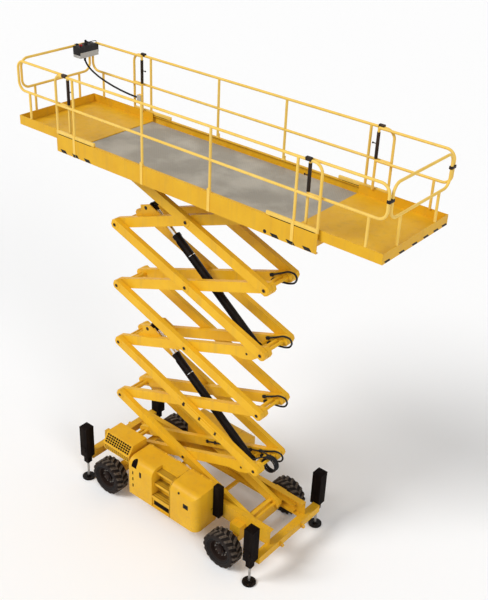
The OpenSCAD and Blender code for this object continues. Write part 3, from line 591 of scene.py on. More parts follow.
# a block with round upright corners whose outline is drawn in by a quarter circle at both ends
def block(lo, hi, r, steps=3):
    lo, hi = np.minimum(lo, hi).astype(float), np.maximum(lo, hi).astype(float)
    a = np.linspace(0, np.pi / 2, steps + 1)
    corner = np.concatenate([a + k * np.pi / 2 for k in range(4)])
    sx = np.repeat([1, -1, -1, 1], steps + 1)
    sy = np.repeat([1, 1, -1, -1], steps + 1)
    mid, half = (lo + hi) / 2, (hi - lo) / 2
    inset = r * (1 - np.sin(a))
    draw = np.concatenate([inset, inset[::-1]])
    z = np.concatenate([lo[2] + r * (1 - np.cos(a)), hi[2] - r * (1 - np.cos(a[::-1]))])
    grow = (r - draw)[:, None]
    x = mid[0] + sx * (half[0] - r) + grow * np.cos(corner)
    y = mid[1] + sy * (half[1] - r) + grow * np.sin(corner)
    return loft(np.stack([x, y, np.broadcast_to(z[:, None], x.shape)], -1))


# a bent sheet: a flat bar's four corners carried along an outline of y and z, drawn in by its thickness
def bentSheet(outline, thick, x0, x1, side):
    p = np.array(outline, float)
    d = np.gradient(p, axis=0)
    d /= np.linalg.norm(d, axis=1)[:, None]
    q = p - np.stack([d[:, 1], -d[:, 0]], 1) * thick
    corners = [np.insert(v * (side, 1), 0, x, 1) for x, v in ((x0, q), (x1, q), (x1, p), (x0, p))]
    return loft(np.stack(corners[::side], 1))


# many shapes as one: their points stacked and their faces counted on
def joined(shapes):
    points, faces, start = [], [], 0
    for p, f in shapes:
        points.append(p)
        faces += [[k + start for k in face] for face in f]
        start += len(p)
    return np.vstack(points), faces


stackSettings = {
    "lean": 20.0,  # degrees, of every arm at rest
    "arm": 3.5,  # metres between an arm's end pins
}


# points turned about Y by the lean, so that X runs along the arm
def leant(points, rising=True):
    angle = math.radians(stackSettings["lean"] if rising else -stackSettings["lean"])
    c, s = math.cos(angle), math.sin(angle)
    return points @ np.array([[c, 0, s], [0, 1, 0], [-s, 0, c]])


# a shape leant and set at an arm's middle pin
def onArm(shape, stage, rising):
    points, faces = shape
    return leant(points, rising) + np.array(joints["middle_%d" % stage]["pos_m"]), faces


# the same profile turned outwards on both faces of an arm pair
def onBothFaces(profile, x, face, z, sides):
    return joined([turned(profile, (x, way * face, z), (0, way, 0), sides) for way in (-1, 1)])


crispAngle = 40.0  # degrees between faces, past which shading isn't smooth


# a shape made a mesh, dressed, and set to ride on a body in a colour slot
def place(name, shape, body, finish, smooth=True):
    points, faces = shape
    mesh = bpy.data.meshes.new(name)
    mesh.from_pydata(points.tolist(), [], faces)
    mesh.polygons.foreach_set("use_smooth", np.full(len(mesh.polygons), smooth))
    mesh.materials.append(finishes[finish])
    obj = bpy.data.objects.new(name, mesh)
    bpy.context.collection.objects.link(obj)
    if smooth:
        edge = obj.modifiers.new("crisp", "EDGE_SPLIT")
        edge.split_angle = math.radians(crispAngle)
    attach(obj, body)
    return obj


# the control cable: a smooth tube through the route, with a tapered sleeve at both ends
cableSettings = {
    "start": (-3.550, 0.573, 7.80035),
    "radius": 0.016,
    "route": [
        (0, 0, 0), (0, 0, -20), (11, 2, -58), (39, 9, -110), (78, 17, -154), (122, 27, -193), (170, 38, -227),
        (220, 48, -257), (271, 59, -285), (324, 70, -310), (378, 82, -333), (432, 93, -355), (487, 104, -374),
        (543, 115, -393), (599, 125, -410), (655, 136, -425), (712, 146, -440), (769, 156, -453),
        (827, 166, -465), (885, 175, -475), (943, 183, -484), (1001, 191, -491), (1061, 197, -494),
        (1090, 199, -494), (1120, 199, -494),
    ],  # mm from the gland
    "sleeve": [
        (0.023, 0), (0.023, 0.012), (0.0205, 0.016), (0.0205, 0.024), (0.0185, 0.03), (0.0185, 0.038),
        (0.0165, 0.055),
    ],
}


def makeCable(s):
    route = np.array(s["start"]) + np.array(s["route"]) * 0.001
    path = smoothPath(route, 4)
    piece = place("controlCable", tube(path, s["radius"], 12), "extension_left", "blackRubber")
    sleeves = [turned(s["sleeve"], route[0], (0, 0, -1), 16), turned(s["sleeve"], route[-1], (-1, 0, 0), 16)]
    boot = place("cableSleeves", joined(sleeves), "extension_left", "blackRubber")
    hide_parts("cable")


makeCable(cableSettings)
print("cable laid")

# pins of the scissor stack: a dark cap on each pin end and a round boss plate on the arm round it
pinSettings = {
    "ends": (-1.75, 0.0, 1.75),
    "armFace": 0.390,
    "headFace": 0.404,
    "rollerFace": 0.454,  # right ends of the first stage
    "hangerFace": 0.425,  # left ends of the last stage
    "hangerScale": 0.9,
    "boss": [(0.078, -0.002), (0.078, 0.004), (0.075, 0.007), (0.040, 0.007)],
    "cap": [(0.029, -0.001), (0.029, 0.006), (0.026, 0.009), (0.012, 0.010), (0.011, 0.014), (0.004, 0.015)],
}


def makePins(s):
    for stage in range(1, 6):
        caps, bosses = [], []
        for side in (-1, 1):
            for along in s["ends"]:
                face, scale = s["headFace"], 1.0
                if stage == 1 and along > 0:
                    face = s["rollerFace"]
                if stage == 5 and along < 0:
                    face, scale = s["hangerFace"], s["hangerScale"]
                cap = np.array(s["cap"]) * (scale, 1)
                caps.append(turned(cap, (along, side * face, 0), (0, side, 0), 20))
                bosses.append(turned(s["boss"], (along, side * s["armFace"], 0), (0, side, 0), 32))
        body = "outer_%d" % stage
        place("pinCaps%d" % stage, onArm(joined(caps), stage, False), body, "pinDark")
        place("pinBosses%d" % stage, onArm(joined(bosses), stage, False), body, "armGold")


makePins(pinSettings)

# prop bar clipped along the near outer arm of the second stage
propSettings = {
    "along": (-0.15, 0.95),
    "face": 0.391,
    "thick": 0.010,
    "deep": 0.026,
    "lift": 0.02,
    "round": 0.004,
    "clips": (0.0, 0.4, 0.8),
    "clipHalf": (0.02, 0.036),  # along and across
    "clipY": (0.002, -0.006),  # from the bar's outer face
    "clipRound": 0.003,
}


def makeProp(s):
    y0, y1 = -s["face"], -s["face"] - s["thick"]
    x0, x1 = s["along"]
    z, deep = s["lift"], s["deep"]
    bar = block((x0, y0, z - deep), (x1, y1, z + deep), s["round"])
    place("propBar", onArm(bar, 2, False), "outer_2", "armGold")
    dx, dz = s["clipHalf"]
    back, front = (y1 + v for v in s["clipY"])
    clips = [block((x - dx, back, z - dz), (x + dx, front, z + dz), s["clipRound"]) for x in s["clips"]]
    place("propClips", onArm(joined(clips), 2, False), "outer_2", "pinDark")


makeProp(propSettings)
print("stack pins and prop bar made")

# oil hoses: turns strapped round the first right joint's shaft, lines clipped along the arm,
# and a bow at each right joint
hoseSettings = {
    "radius": 0.013,
    "turns": ((0.138, -0.060), (0.144, -0.030), (0.139, 0.0), (0.143, 0.030)),  # radius and place across
    "centre": (1.81, -0.05),  # along the arm and square to it
    "strapAt": (165.0, 0.14, -0.015),  # degrees round the turns, distance from their centre, place across
    "strap": (0.062, 0.007),  # radius of the strap and of its wire
    "line": [(1.81, 0.03, 0.090), (1.72, 0.05, 0.089), (1.62, 0.10, 0.078), (1.50, 0.155, 0.058),
             (1.36, 0.181, 0.040), (1.10, 0.184, 0.032), (0.70, 0.184, 0.030), (0.30, 0.184, 0.030),
             (0.10, 0.184, 0.030)],
    "clips": (1.20, 0.75, 0.30, 0.10),
    "clip": (0.02, 0.03, 0.166, 0.2015),  # half length, half width, from and to across
    "bow": [
        (1.45, 0.183, -0.048), (1.58, 0.172, -0.062), (1.70, 0.165, -0.082), (1.80, 0.165, -0.094),
        (1.90, 0.165, -0.080), (1.965, 0.165, -0.010), (1.935, 0.165, 0.071), (1.82, 0.165, 0.103),
        (1.70, 0.165, 0.085), (1.58, 0.172, 0.066), (1.45, 0.183, 0.045),
    ],
    "bowRadius": 0.016,
    "bowClip": (0.03, 0.026, 0.160, 0.2015),
    "clipRound": 0.004,
}


# a block round a hose at one place along an arm, on one side of the pair
def hoseClip(x, z, size, way, r):
    dx, dz, y0, y1 = size
    return block((x - dx, way * y0, z - dz), (x + dx, way * y1, z + dz), r)


def makeHoses(s):
    x, z = s["centre"]
    turns = [hoop((x, y, z), (0, 1, 0), big, s["radius"], 48, 8) for big, y in s["turns"]]
    a, out, across = s["strapAt"]
    c, d = math.cos(math.radians(a)), math.sin(math.radians(a))
    turns.append(hoop((x + out * c, across, z + out * d), (-d, 0, c), *s["strap"], 24, 8))
    lines = [tube(smoothPath(np.array(s["line"]) * (1, way, 1), 6), s["radius"], 10) for way in (-1, 1)]
    place("hoseTurns", onArm(joined(turns + lines), 1, True), "inner_1", "blackRubber")
    high = s["line"][-1][2]
    clips = [hoseClip(x, high, s["clip"], way, s["clipRound"]) for x in s["clips"] for way in (-1, 1)]
    place("hoseClips", onArm(joined(clips), 1, True), "inner_1", "pinDark")
    bow = [tube(smoothPath(s["bow"], 6), s["bowRadius"], 10)]
    for x, y, z in (s["bow"][0], s["bow"][-1]):
        bow.append(hoseClip(x, z, s["bowClip"], 1, s["clipRound"]))
    for stage in range(1, 5):
        shape = onArm(joined(bow), stage, True)
        place("hoseBow%d" % stage, shape, "inner_%d" % stage, "blackRubber")


makeHoses(hoseSettings)
print("hoses clipped on")

# lift cylinders: a bright band and wiper ring, an oil pipe along the barrel, the rod made dark round its eye,
# and the pin ends in the horns and in the feet
cylinderSettings = {
    "foot": (1.353, 0.0, -0.047),  # along and square to the arm, from its middle pin
    "head": (-1.080, 0.0, 0.215),
    "barrel": 0.784,  # share of the length between the eyes
    "band": [(0.0695, 0.0), (0.0725, 0.002), (0.0725, 0.011), (0.0695, 0.013)],
    "bandAt": 0.805,  # share of the barrel
    "wiper": [(0.062, -0.004), (0.062, 0.010), (0.052, 0.016), (0.0415, 0.016)],
    "pipe": 0.011,
    "pipeOut": 0.088,
    "pipeLow": ((0.16, 0.7), (0.20, 0.98), (0.30, 1.0), (1.2, 1.0)),  # from the foot's eye, share out
    "pipeHigh": ((0.25, 1.0), (0.14, 0.98), (0.10, 0.7)),  # short of the barrel's end, share out
    "hornFace": 0.196,
    "hornPin": [(0.0345, -0.0135), (0.0345, 0.0003), (0.031, 0.0009), (0.004, 0.0009)],
    "armFace": 0.292,
    "footPin": [(0.023, -0.0005), (0.023, 0.0006), (0.004, 0.0009)],
}


def makeCylinders(s):
    rise = stackSettings["arm"] * math.sin(math.radians(stackSettings["lean"]))
    foot = leant(np.array(s["foot"]))
    way = leant(np.array(s["head"])) + (0, 0, 2 * rise) - foot
    length = np.linalg.norm(way)
    way /= length
    tubeEnd = length * s["barrel"]
    out = np.array([0.0, -s["pipeOut"], 0.0])
    for name, stage in (("lower", 1), ("upper", 3)):
        body = name + "_barrel"
        eye = np.array(joints["middle_%d" % stage]["pos_m"]) + foot
        rings = [turned(s["band"], eye + way * (tubeEnd * s["bandAt"]), way, 40),
                 turned(s["wiper"], eye + way * tubeEnd, way, 36)]
        place(name + "Bands", joined(rings), body, "rodChrome")
        tip = tuple(float(v) for v in eye + way * length)
        dress(nodes[name + "_rod"], steelFinish(name + "RodChrome", *chrome, eye=tip))
        x, _, z = s["head"]
        heads = onArm(onBothFaces(s["hornPin"], x, s["hornFace"], z, 28), stage + 2, True)
        place(name + "HeadPin", heads, "inner_%d" % (stage + 2), "pinDark")
        x, _, z = s["foot"]
        feet = onArm(onBothFaces(s["footPin"], x, s["armFace"], z, 24), stage, True)
        place(name + "FootPin", feet, "inner_%d" % stage, "pinDark")
        steps = s["pipeLow"] + tuple((tubeEnd - d, share) for d, share in s["pipeHigh"])
        line = [eye + way * d + out * share for d, share in steps]
        place(name + "OilPipe", tube(smoothPath(line, 6), s["pipe"], 10), body, "barrelBlack")


makeCylinders(cylinderSettings)
print("cylinders dressed")

# wheels: hub cap, wheel nuts, and raised rings moulded in the tyre's wall
wheelSettings = {
    "axleY": 0.924,
    "radius": 0.353,
    "capFace": 0.080,
    "cap": [(0.062, -0.002), (0.062, 0.014), (0.054, 0.026), (0.030, 0.034), (0.010, 0.036)],
    "discFace": 0.040,
    "nutCircle": 0.128,
    "nuts": 10,
    "nut": [
        (0.017, -0.002), (0.017, 0.004), (0.012, 0.005), (0.012, 0.017), (0.008, 0.019), (0.008, 0.026),
        (0.003, 0.027),
    ],
    "wallRings": ((0.236, 0.128), (0.262, 0.147)),  # radius, distance from the middle plane
    "wallBead": 0.007,
}


def makeWheels(s):
    t = angles(s["nuts"])
    circle = s["nutCircle"] * np.stack([np.cos(t), 0 * t, np.sin(t)], 1)
    for end in ("front", "rear"):
        x = joints["spin_%s_near" % end]["pos_m"][0]
        for side, name in nearFar:
            mid = np.array([x, side * s["axleY"], s["radius"]])
            out = np.array([0.0, side, 0.0])
            body = "wheel_%s_%s" % (end, name)
            tag = end + name.capitalize()
            nuts = joined([turned(s["nut"], p, out, 6) for p in mid + out * s["discFace"] + circle])
            place("wheelNuts_" + tag, nuts, body, "nutSteel", False)
            cap = turned(s["cap"], mid + out * s["capFace"], out, 32)
            place("hubCap_" + tag, cap, body, "rimDark")
            rings = [hoop(mid + out * away * way, out, r, s["wallBead"], 64, 6)
                     for r, away in s["wallRings"] for way in (-1, 1)]
            place("wallRings_" + tag, joined(rings), body, "blackRubber")


makeWheels(wheelSettings)
print("wheels dressed")

# grille box: a wire guard over each slotted band, its wires crossing in front of a dark screen, which is
# painted shade for the inside seen through the slots
grilleSettings = {
    "x": (-1.700, -1.070),
    "wire": 0.0062,
    "columns": 12,
    "bands": (
        ((0.978, 1.1685), (0.880, 1.324), 5),  # low and high edge (y, z), rows
        ((0.965, 1.0125), (0.985, 1.1245), 4),
    ),
    "screen": 0.0022,  # the screen's thickness
    "lift": 0.0016,  # the screen's height over the plate
}


def makeGrille(s):
    wires, screens = [], []
    x0, x1 = s["x"]
    for low, high, rows in s["bands"]:
        low, high = np.array(low), np.array(high)
        d = (high - low) / np.linalg.norm(high - low)
        out = np.array([d[1], -d[0]]) * s["lift"]
        low, high = low + out, high + out
        screens.append(bentSheet([low, high], s["screen"], x0, x1, -1))
        for k in np.linspace(0, 1, rows):
            y, z = low * (1 - k) + high * k
            wires.append(rod((x0, -y, z), (x1, -y, z), s["wire"], 8))
        for x in np.linspace(x0, x1, s["columns"]):
            wires.append(rod((x, -low[0], low[1]), (x, -high[0], high[1]), s["wire"], 8))
    place("grilleWires", joined(wires), "chassis", "chassisGold")
    # painted shade: the dark screen behind the wires stands in for the shade inside the slots
    place("grilleShadeScreen", joined(screens), "chassis", "jackBlack", False)


makeGrille(grilleSettings)

# side covers: studs in the near treads with dark discs as painted shade for their holes, dark plates as
# painted shade in the window and on the riser, marks, dark plates as painted shade in the end slots, a lift
# latch, the plug and lock on the near front cover, dark edge trim that also paints the shade of the seam, and
# a flat panel over the far recess
coverSettings = {
    "side": 1.080,  # the long cover's outline: face, low and high end of the flat, its rounding, inner end
    "flatZ": (0.430, 1.090),
    "round": 0.160,
    "inside": 0.800,
    "treads": ((0.700, 0.915, 1.055), (0.960, 0.870, 0.992), (1.180, 0.830, 0.928)),  # top, rows from and to
    "treadX": (-0.345, 0.058),
    "stud": [(0.011, -0.001), (0.011, 0.001), (0.009, 0.0025), (0.003, 0.003)],
    "studs": (15, 4),
    "holes": ((0.700, 0.928), (0.700, 0.952), (0.960, 0.884), (0.960, 0.908)),  # tread's top, row
    "hole": [(0.010, -0.001), (0.010, 0.001), (0.008, 0.0012)],
    "holeX": (-0.335, 0.048, 12),  # from, to, count
    "windowX": (-0.886, -0.749),
    "windowArc": (-6.0, 72.0, 0.151),  # degrees, degrees, radius
    "windowThick": 0.003,
    "slat": 0.003,
    "mark": (-0.865, -0.835, 1.070, 1.0808),  # x, x, y, y
    "markZ": (0.655, 0.807, 0.951),
    "markHalf": 0.037,
    "kick": ((-0.330, -1.050, 0.484), (0.050, -1.0555, 0.590)),
    "plateRound": 0.002,
    "latch": (-0.656, 1.0),
    "latchParts": (
        (0.024, 0.062, 1.0795, 1.083, 0.0015),  # half sizes, y, y, round
        (0.006, 0.04, 1.07, 1.094, 0.004),
    ),
    "port": ((0.404, -1.058, 0.862), (0.545, -1.073, 0.988)),
    "portRound": 0.003,
    "plugAt": (0.4745, -1.066, 0.925),
    "plug": [(0.034, -0.002), (0.034, 0.014), (0.029, 0.018), (0.023, 0.018), (0.022, 0.008)],
    "lockAt": (0.304, -1.0706, 1.144),
    "lockWay": (0, -0.941, 0.338),
    "lock": [(0.022, -0.002), (0.022, 0.005), (0.018, 0.008), (0.007, 0.008), (0.006, 0.004)],
    "endFaces": (0.735, 0.375),  # near, far
    "endSlot": ((-0.02, 0.565, 0.732), (-0.0065, 0.690, 0.772)),  # x from the end face
    "trimX": (0.0912, 0.0985),
    "trim": (0.0004, 0.001),  # height over the cover, thickness
    "panelX": (-0.363, 0.075),
    "panelThick": 0.005,
}


# an arc about the centre of the cover's upper bend: y and z from the angle and the radius
def coverArc(s, angle, r):
    return np.stack([s["side"] - s["round"] + r * np.cos(angle), s["flatZ"][1] + r * np.sin(angle)], 1)


# studs on a grid over each tread
def treadStuds(s):
    x = np.linspace(*s["treadX"], s["studs"][0])
    studs = []
    for top, back, front in s["treads"]:
        y = -np.linspace(back, front, s["studs"][1])
        spots = np.array(np.meshgrid(x, y, [top], indexing="ij")).reshape(3, -1).T
        studs += [turned(s["stud"], p, (0, 0, 1), 8) for p in spots]
    return joined(studs)


# dark plates behind the openings of a long cover, with slats across its bent window. The window's plate, the
# riser plate and the discs in the treads' holes are painted shade; the marks beside the window are dark
# plates too
def darkBacks(s, side):
    start, end, r = s["windowArc"]
    curve = coverArc(s, np.radians(np.linspace(start, end, 13)), r)
    x0, x1 = s["windowX"]
    # painted shade: a dark bent sheet fills the window where its inside lies in shade
    backs = [bentSheet(curve, s["windowThick"], x0, x1, side)]
    for y, z in curve[1::2]:
        backs.append(rod((x0, side * y, z), (x1, side * y, z), s["slat"], 6))
    x0, x1, y0, y1 = s["mark"]
    half, r = s["markHalf"], s["plateRound"]
    backs += [block((x0, side * y0, z - half), (x1, side * y1, z + half), r) for z in s["markZ"]]
    if side < 0:
        # painted shade: a dark plate on the riser under the lowest tread
        backs.append(block(*s["kick"], r))
        # painted shade: flat dark discs stand in for the shade inside the treads' holes
        for top, row in s["holes"]:
            backs += [turned(s["hole"], (x, -row, top), (0, 0, 1), 10) for x in np.linspace(*s["holeX"])]
    return joined(backs)


def makeCoverTrim(s):
    place("treadStuds", treadStuds(s), "cover_near_rear", "blackRubber")
    x, z = s["latch"]
    for side, name in nearFar:
        body = "cover_%s_rear" % name
        place("darkBacks_" + name, darkBacks(s, side), body, "jackBlack")
        latch = [block((x - dx, side * y0, z - dz), (x + dx, side * y1, z + dz), r)
                 for dx, dz, y0, y1, r in s["latchParts"]]
        place("coverLatch_" + name, joined(latch), body, "pinDark")
    plug = [block(*s["port"], s["portRound"]), turned(s["plug"], s["plugAt"], (0, -1, 0), 24),
            turned(s["lock"], s["lockAt"], s["lockWay"], 20)]
    place("portPlug", joined(plug), "cover_near_front", "blackRubber")
    # painted shade: a dark plate in each end slot stands in for the shade inside it
    for (side, name), face in zip(nearFar, s["endFaces"]):
        corners = [np.array(v) * (1, side, 1) + (face, 0, 0) for v in s["endSlot"]]
        back = block(*corners, s["plateRound"])
        place("endSlotShade_" + name, back, "cover_%s_front" % name, "jackBlack")
    low, high = s["flatZ"]
    bend = coverArc(s, np.linspace(0, np.pi / 2, 9), s["round"])
    outline = np.vstack([[(s["side"], low)], bend, [(s["inside"], high + s["round"])]])
    # dark edge trim along the seam between the near covers, which is also painted shade deepening the seam's
    # dark line
    lift, thick = s["trim"]
    trim = bentSheet(outline + lift, thick, *s["trimX"], -1)
    place("edgeTrimSeamShade", trim, "cover_near_front", "jackBlack")
    panel = bentSheet(outline, s["panelThick"], *s["panelX"], 1)
    place("farPanel", panel, "cover_far_rear", "chassisGold")


makeCoverTrim(coverSettings)
print("covers and grille dressed")

# engine under the near cover: ribs, pulleys, oil filter, rocker cover with bolts, and the air filter with
# its hose
engineSettings = {
    "sink": 0.004,  # how far castings start inside the block
    "ribs": (0.10, 0.24, 0.38, 0.50),  # along, from the rear face
    "rib": (0.012, 0.014, 0.10, 0.005),  # half width, depth, distance from the top and bottom, round
    "pulleys": ((0.20, 0.20, 0.085), (0.37, 0.36, 0.055)),  # along, up, radius
    "pulley": [
        (0.3, 0.0), (0.3, 0.012), (1.0, 0.012), (1.0, 0.017), (0.86, 0.022), (1.0, 0.027), (1.0, 0.032),
        (0.4, 0.036),
    ],
    "filterAt": (0.44, 0.16),
    "filter": [
        (0.034, -0.002), (0.034, 0.010), (0.044, 0.014), (0.044, 0.080), (0.038, 0.090), (0.014, 0.092),
    ],
    "rocker": (0.07, 0.11, 0.055, 0.02),  # inset along, half width, height, round
    "bolts": (4, 0.03, 0.02),  # in a row, inset along and across
    "bolt": [(0.010, -0.001), (0.010, 0.007), (0.007, 0.009), (0.002, 0.009)],
    "canisterAt": (0.10, -0.10, 0.075),  # from the rear face, the far face and the top
    "canister": [
        (0.03, 0.0), (0.060, 0.004), (0.066, 0.010), (0.066, 0.250), (0.060, 0.262), (0.034, 0.266),
        (0.034, 0.290),
    ],
    "hose": 0.030,
    "bend": [
        (0, 0, 0), (0.05, -0.01, -0.01), (0.08, -0.05, -0.04), (0.07, -0.10, -0.075), (0.05, -0.14, -0.09),
    ],
}


def makeEngine(s):
    lo, hi = (np.array(v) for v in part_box("engine"))
    face, roof = lo[1], hi[2]
    mid = (lo[1] + hi[1]) / 2
    sink = s["sink"]
    wide, deep, edge, r = s["rib"]
    cast = [block((x - wide, face + sink, lo[2] + edge), (x + wide, face - deep, roof - edge), r)
            for x in lo[0] + np.array(s["ribs"])]
    inset, half, high, r = s["rocker"]
    x0, x1 = lo[0] + inset, hi[0] - inset
    cast.append(block((x0, mid - half, roof - sink), (x1, mid + half, roof + high), r))
    for x, z, r in s["pulleys"]:
        profile = np.array(s["pulley"]) * (r, 1)
        cast.append(turned(profile, (lo[0] + x, face, lo[2] + z), (0, -1, 0), 32))
    place("engineCastings", joined(cast), "chassis", "castGrey")
    x, z = s["filterAt"]
    dark = [turned(s["filter"], (lo[0] + x, face, lo[2] + z), (0, -1, 0), 28)]
    start = np.array([lo[0], hi[1], roof]) + s["canisterAt"]
    dark.append(turned(s["canister"], start, (1, 0, 0), 32))
    bend = start + (s["canister"][-1][1], 0, 0) + np.array(s["bend"])
    dark.append(tube(smoothPath(bend, 6), s["hose"], 14))
    place("engineFilters", joined(dark), "chassis", "blackRubber")
    count, dx, dy = s["bolts"]
    bolts = [turned(s["bolt"], (x, mid + way * (half - dy), roof + high), (0, 0, 1), 6)
             for x in np.linspace(x0 + dx, x1 - dx, count) for way in (-1, 1)]
    place("engineBolts", joined(bolts), "chassis", "nutSteel", False)


makeEngine(engineSettings)
print("engine dressed")

# jacks: a ring of bolts on each foot, and on each housing a cap, a clamp plate with bolts, and a collar where
# the leg comes out
jackSettings = {
    "across": 0.980,
    "places": (("front", 1.912, 1.265), ("rear", -2.208, 1.250)),  # x, top
    "footTop": 0.032,
    "bolt": [(0.011, -0.001), (0.011, 0.007), (0.008, 0.009), (0.003, 0.0095)],
    "boltCircle": (6, 0.095),  # count, radius
    "collar": [(0.0235, -0.026), (0.034, -0.026), (0.045, -0.018), (0.045, 0.0)],
    "collarTop": 0.400,
    "face": 0.095,  # half the housing's width
    "plate": (0.07, 0.001, 0.006, 0.003),  # half width, depth inside and outside the face, round
    "plateZ": (0.70, 0.82),
    "plateBolts": (0.05, 0.025),  # from the middle, from the plate's ends
    "cap": (0.098, 0.014, 0.004, 0.004),  # half width, depth below and height over the top, round
}


def makeJackTrim(s):
    plates = []
    count, radius = s["boltCircle"]
    t = angles(count)
    circle = radius * np.stack([np.cos(t), np.sin(t), 0 * t], 1)
    wide, inside, outside, r = s["plate"]
    z0, z1 = s["plateZ"]
    boltX, boltZ = s["plateBolts"]
    half, below, above, capRound = s["cap"]
    for end, x, top in s["places"]:
        for side, name in nearFar:
            y = side * s["across"]
            feet = joined([turned(s["bolt"], p, (0, 0, 1), 6) for p in circle + (x, y, s["footTop"])])
            body = "jack_%s_%s" % (end, name)
            place("footBolts_" + end + name.capitalize(), feet, body, "pinDark", False)
            plates.append(turned(s["collar"], (x, y, s["collarTop"]), (0, 0, 1), 24))
            face = y + side * s["face"]
            front = face + side * outside
            plates.append(block((x - wide, face - side * inside, z0), (x + wide, front, z1), r))
            for dx in (-boltX, boltX):
                for z in (z0 + boltZ, z1 - boltZ):
                    plates.append(turned(s["bolt"], (x + dx, front, z), (0, side, 0), 6))
            low, high = (x - half, y - half, top - below), (x + half, y + half, top + above)
            plates.append(block(low, high, capRound))
    place("jackPlates", joined(plates), "chassis", "jackBlack")


makeJackTrim(jackSettings)

# oil pipes in the hose guard
guardSettings = {"x": (0.780, 0.8175, 0.855), "y": -0.585, "z": (0.60, 1.25), "radius": 0.012}


def makeGuardPipes(s):
    low, high = s["z"]
    lines = [tube(np.linspace((x, s["y"], low), (x, s["y"], high), 8), s["radius"], 10) for x in s["x"]]
    place("guardPipes", joined(lines), "chassis", "blackRubber")


makeGuardPipes(guardSettings)
print("jacks and guard dressed")

# hazard dashes: thin black paint along the lower edges of the beams' ends and of the right end board, with a
# flat dark disc as painted shade for the beam's round hole
dashSettings = {
    "paint": (-0.0005, 0.0008),  # under and over the face
    "beamFace": 0.900,
    "beamLow": 6.72935,
    "beamX": (-2.53, -2.245, -1.96, 1.89, 2.17, 2.455),
    "beamSize": (0.125, 0.050, -0.045),  # width, height, slant
    "strapFace": 0.908,
    "strapX": (2.201, -2.251),
    "strapSize": (0.050, 0.050, 0.0),
    "holeAt": (1.755, 6.768),
    "hole": [(0.030, -0.0005), (0.030, 0.0006), (0.004, 0.0008)],
    "endX": 3.655,
    "endLow": 6.91735,
    "endY": (-0.77, -0.41, -0.08, 0.22, 0.49, 0.72),
    "endSize": (0.125, 0.036, -0.036),
}


# a slanted flat patch from two edges that lean the same way, given a paint's thickness
def dash(origin, along, out, size, paint):
    wide, high, slant = size
    up = np.array([0.0, 0.0, 1.0])
    flat = np.array([(0, 0), (wide, 0), (wide + slant, high), (slant, high)])
    ring = np.array(origin) + flat[:, :1] * np.array(along) + flat[:, 1:] * up
    if np.dot(np.cross(along, up), out) < 0:
        ring = ring[::-1]
    return loft(np.stack([ring + np.array(out) * v for v in paint]))


def makeDashes(s):
    marks = []
    low, paint = s["beamLow"], s["paint"]
    holeX, holeZ = s["holeAt"]
    for side in (-1, 1):
        out = (0, side, 0)
        for x in s["beamX"]:
            marks.append(dash((x, side * s["beamFace"], low), (1, 0, 0), out, s["beamSize"], paint))
        # painted shade: a flat dark disc stands in for the shade inside the beam's round hole
        marks.append(turned(s["hole"], (holeX, side * s["beamFace"], holeZ), out, 24))
        for x in s["strapX"]:
            marks.append(dash((x, side * s["strapFace"], low), (1, 0, 0), out, s["strapSize"], paint))
    place("beamDashesHoleShade", joined(marks), "platform", "blackRubber", False)
    ends = [dash((s["endX"], y, s["endLow"]), (0, 1, 0), (1, 0, 0), s["endSize"], paint) for y in s["endY"]]
    place("endDashes", joined(ends), "extension_right", "blackRubber", False)


makeDashes(dashSettings)

# guardrail fittings: a dark sleeve and pin on the extensions' inner posts, latches on the top rails and at
# the right corners, collars at the post feet, and guide bars on the beams with a dark strip below, painted
# shade for the gap under them
railSettings = {
    "postX": 2.390,
    "postY": 0.825,
    "sleeve": [
        (0.0215, 7.555), (0.0255, 7.555), (0.0258, 7.56), (0.0258, 7.955), (0.0255, 7.96), (0.0215, 7.96),
    ],
    "pin": [(0.008, 0), (0.008, 0.052), (0.014, 0.054), (0.014, 0.066), (0.006, 0.07)],
    "pinAt": (0.02, 7.78),  # towards the middle, height
    "foot": [(0.0215, 0.0), (0.034, 0.0), (0.034, 0.010), (0.027, 0.014), (0.0215, 0.03)],
    "mainY": 0.877,
    "mainX": (-2.226, -0.689, 0.689, 2.226),
    "mainZ": 7.02935,
    "corner": ((3.602, 0.728, 7.775), (3.658, 0.850, 7.825)),
    "cornerRound": 0.010,
    "latch": ((2.350, 0.853, 8.008), (2.452, 0.905, 8.066)),
    "latchRound": 0.012,
    "bar": ((1.755, 0.862, 7.036), (2.645, 0.9005, 7.090)),
    "barRound": 0.004,
    # painted shade: a thin dark block under each guide bar stands in for the shade in the gap
    "gap": ((1.83, 0.862, 7.025), (2.60, 0.901, 7.037)),
    "gapRound": 0.0005,
}


def makeRailTrim(s):
    shapes = {"latch": [], "bar": [], "gap": []}
    inwards, pinZ = s["pinAt"]
    for way, end in ((-1, "left"), (1, "right")):
        parts = []
        for side in (-1, 1):
            at = np.array([way * s["postX"], side * s["postY"], 0.0])
            parts.append(turned(s["sleeve"], at, (0, 0, 1), 20))
            parts.append(turned(s["pin"], at + (-way * inwards, 0, pinZ), (-way, 0, 0), 12))
            if way > 0:
                parts.append(block(*(np.array(s["corner"]) * (1, side, 1)), s["cornerRound"]))
            for kind in shapes:
                shapes[kind].append(block(*(np.array(s[kind]) * (way, side, 1)), s[kind + "Round"]))
        place("railSleeves_" + end, joined(parts), "extension_" + end, "pinDark")
    feet = [turned(s["foot"], (x, side * s["mainY"], s["mainZ"]), (0, 0, 1), 20)
            for x in s["mainX"] for side in (-1, 1)]
    place("postFeet", joined(feet), "platform", "railGoldHighlit")
    place("railLatches", joined(shapes["latch"]), "platform", "pinDark")
    place("guideBars", joined(shapes["bar"]), "platform", "railGoldHighlit")
    place("guideGapShade", joined(shapes["gap"]), "platform", "jackBlack", False)


makeRailTrim(railSettings)
print("platform dressed")

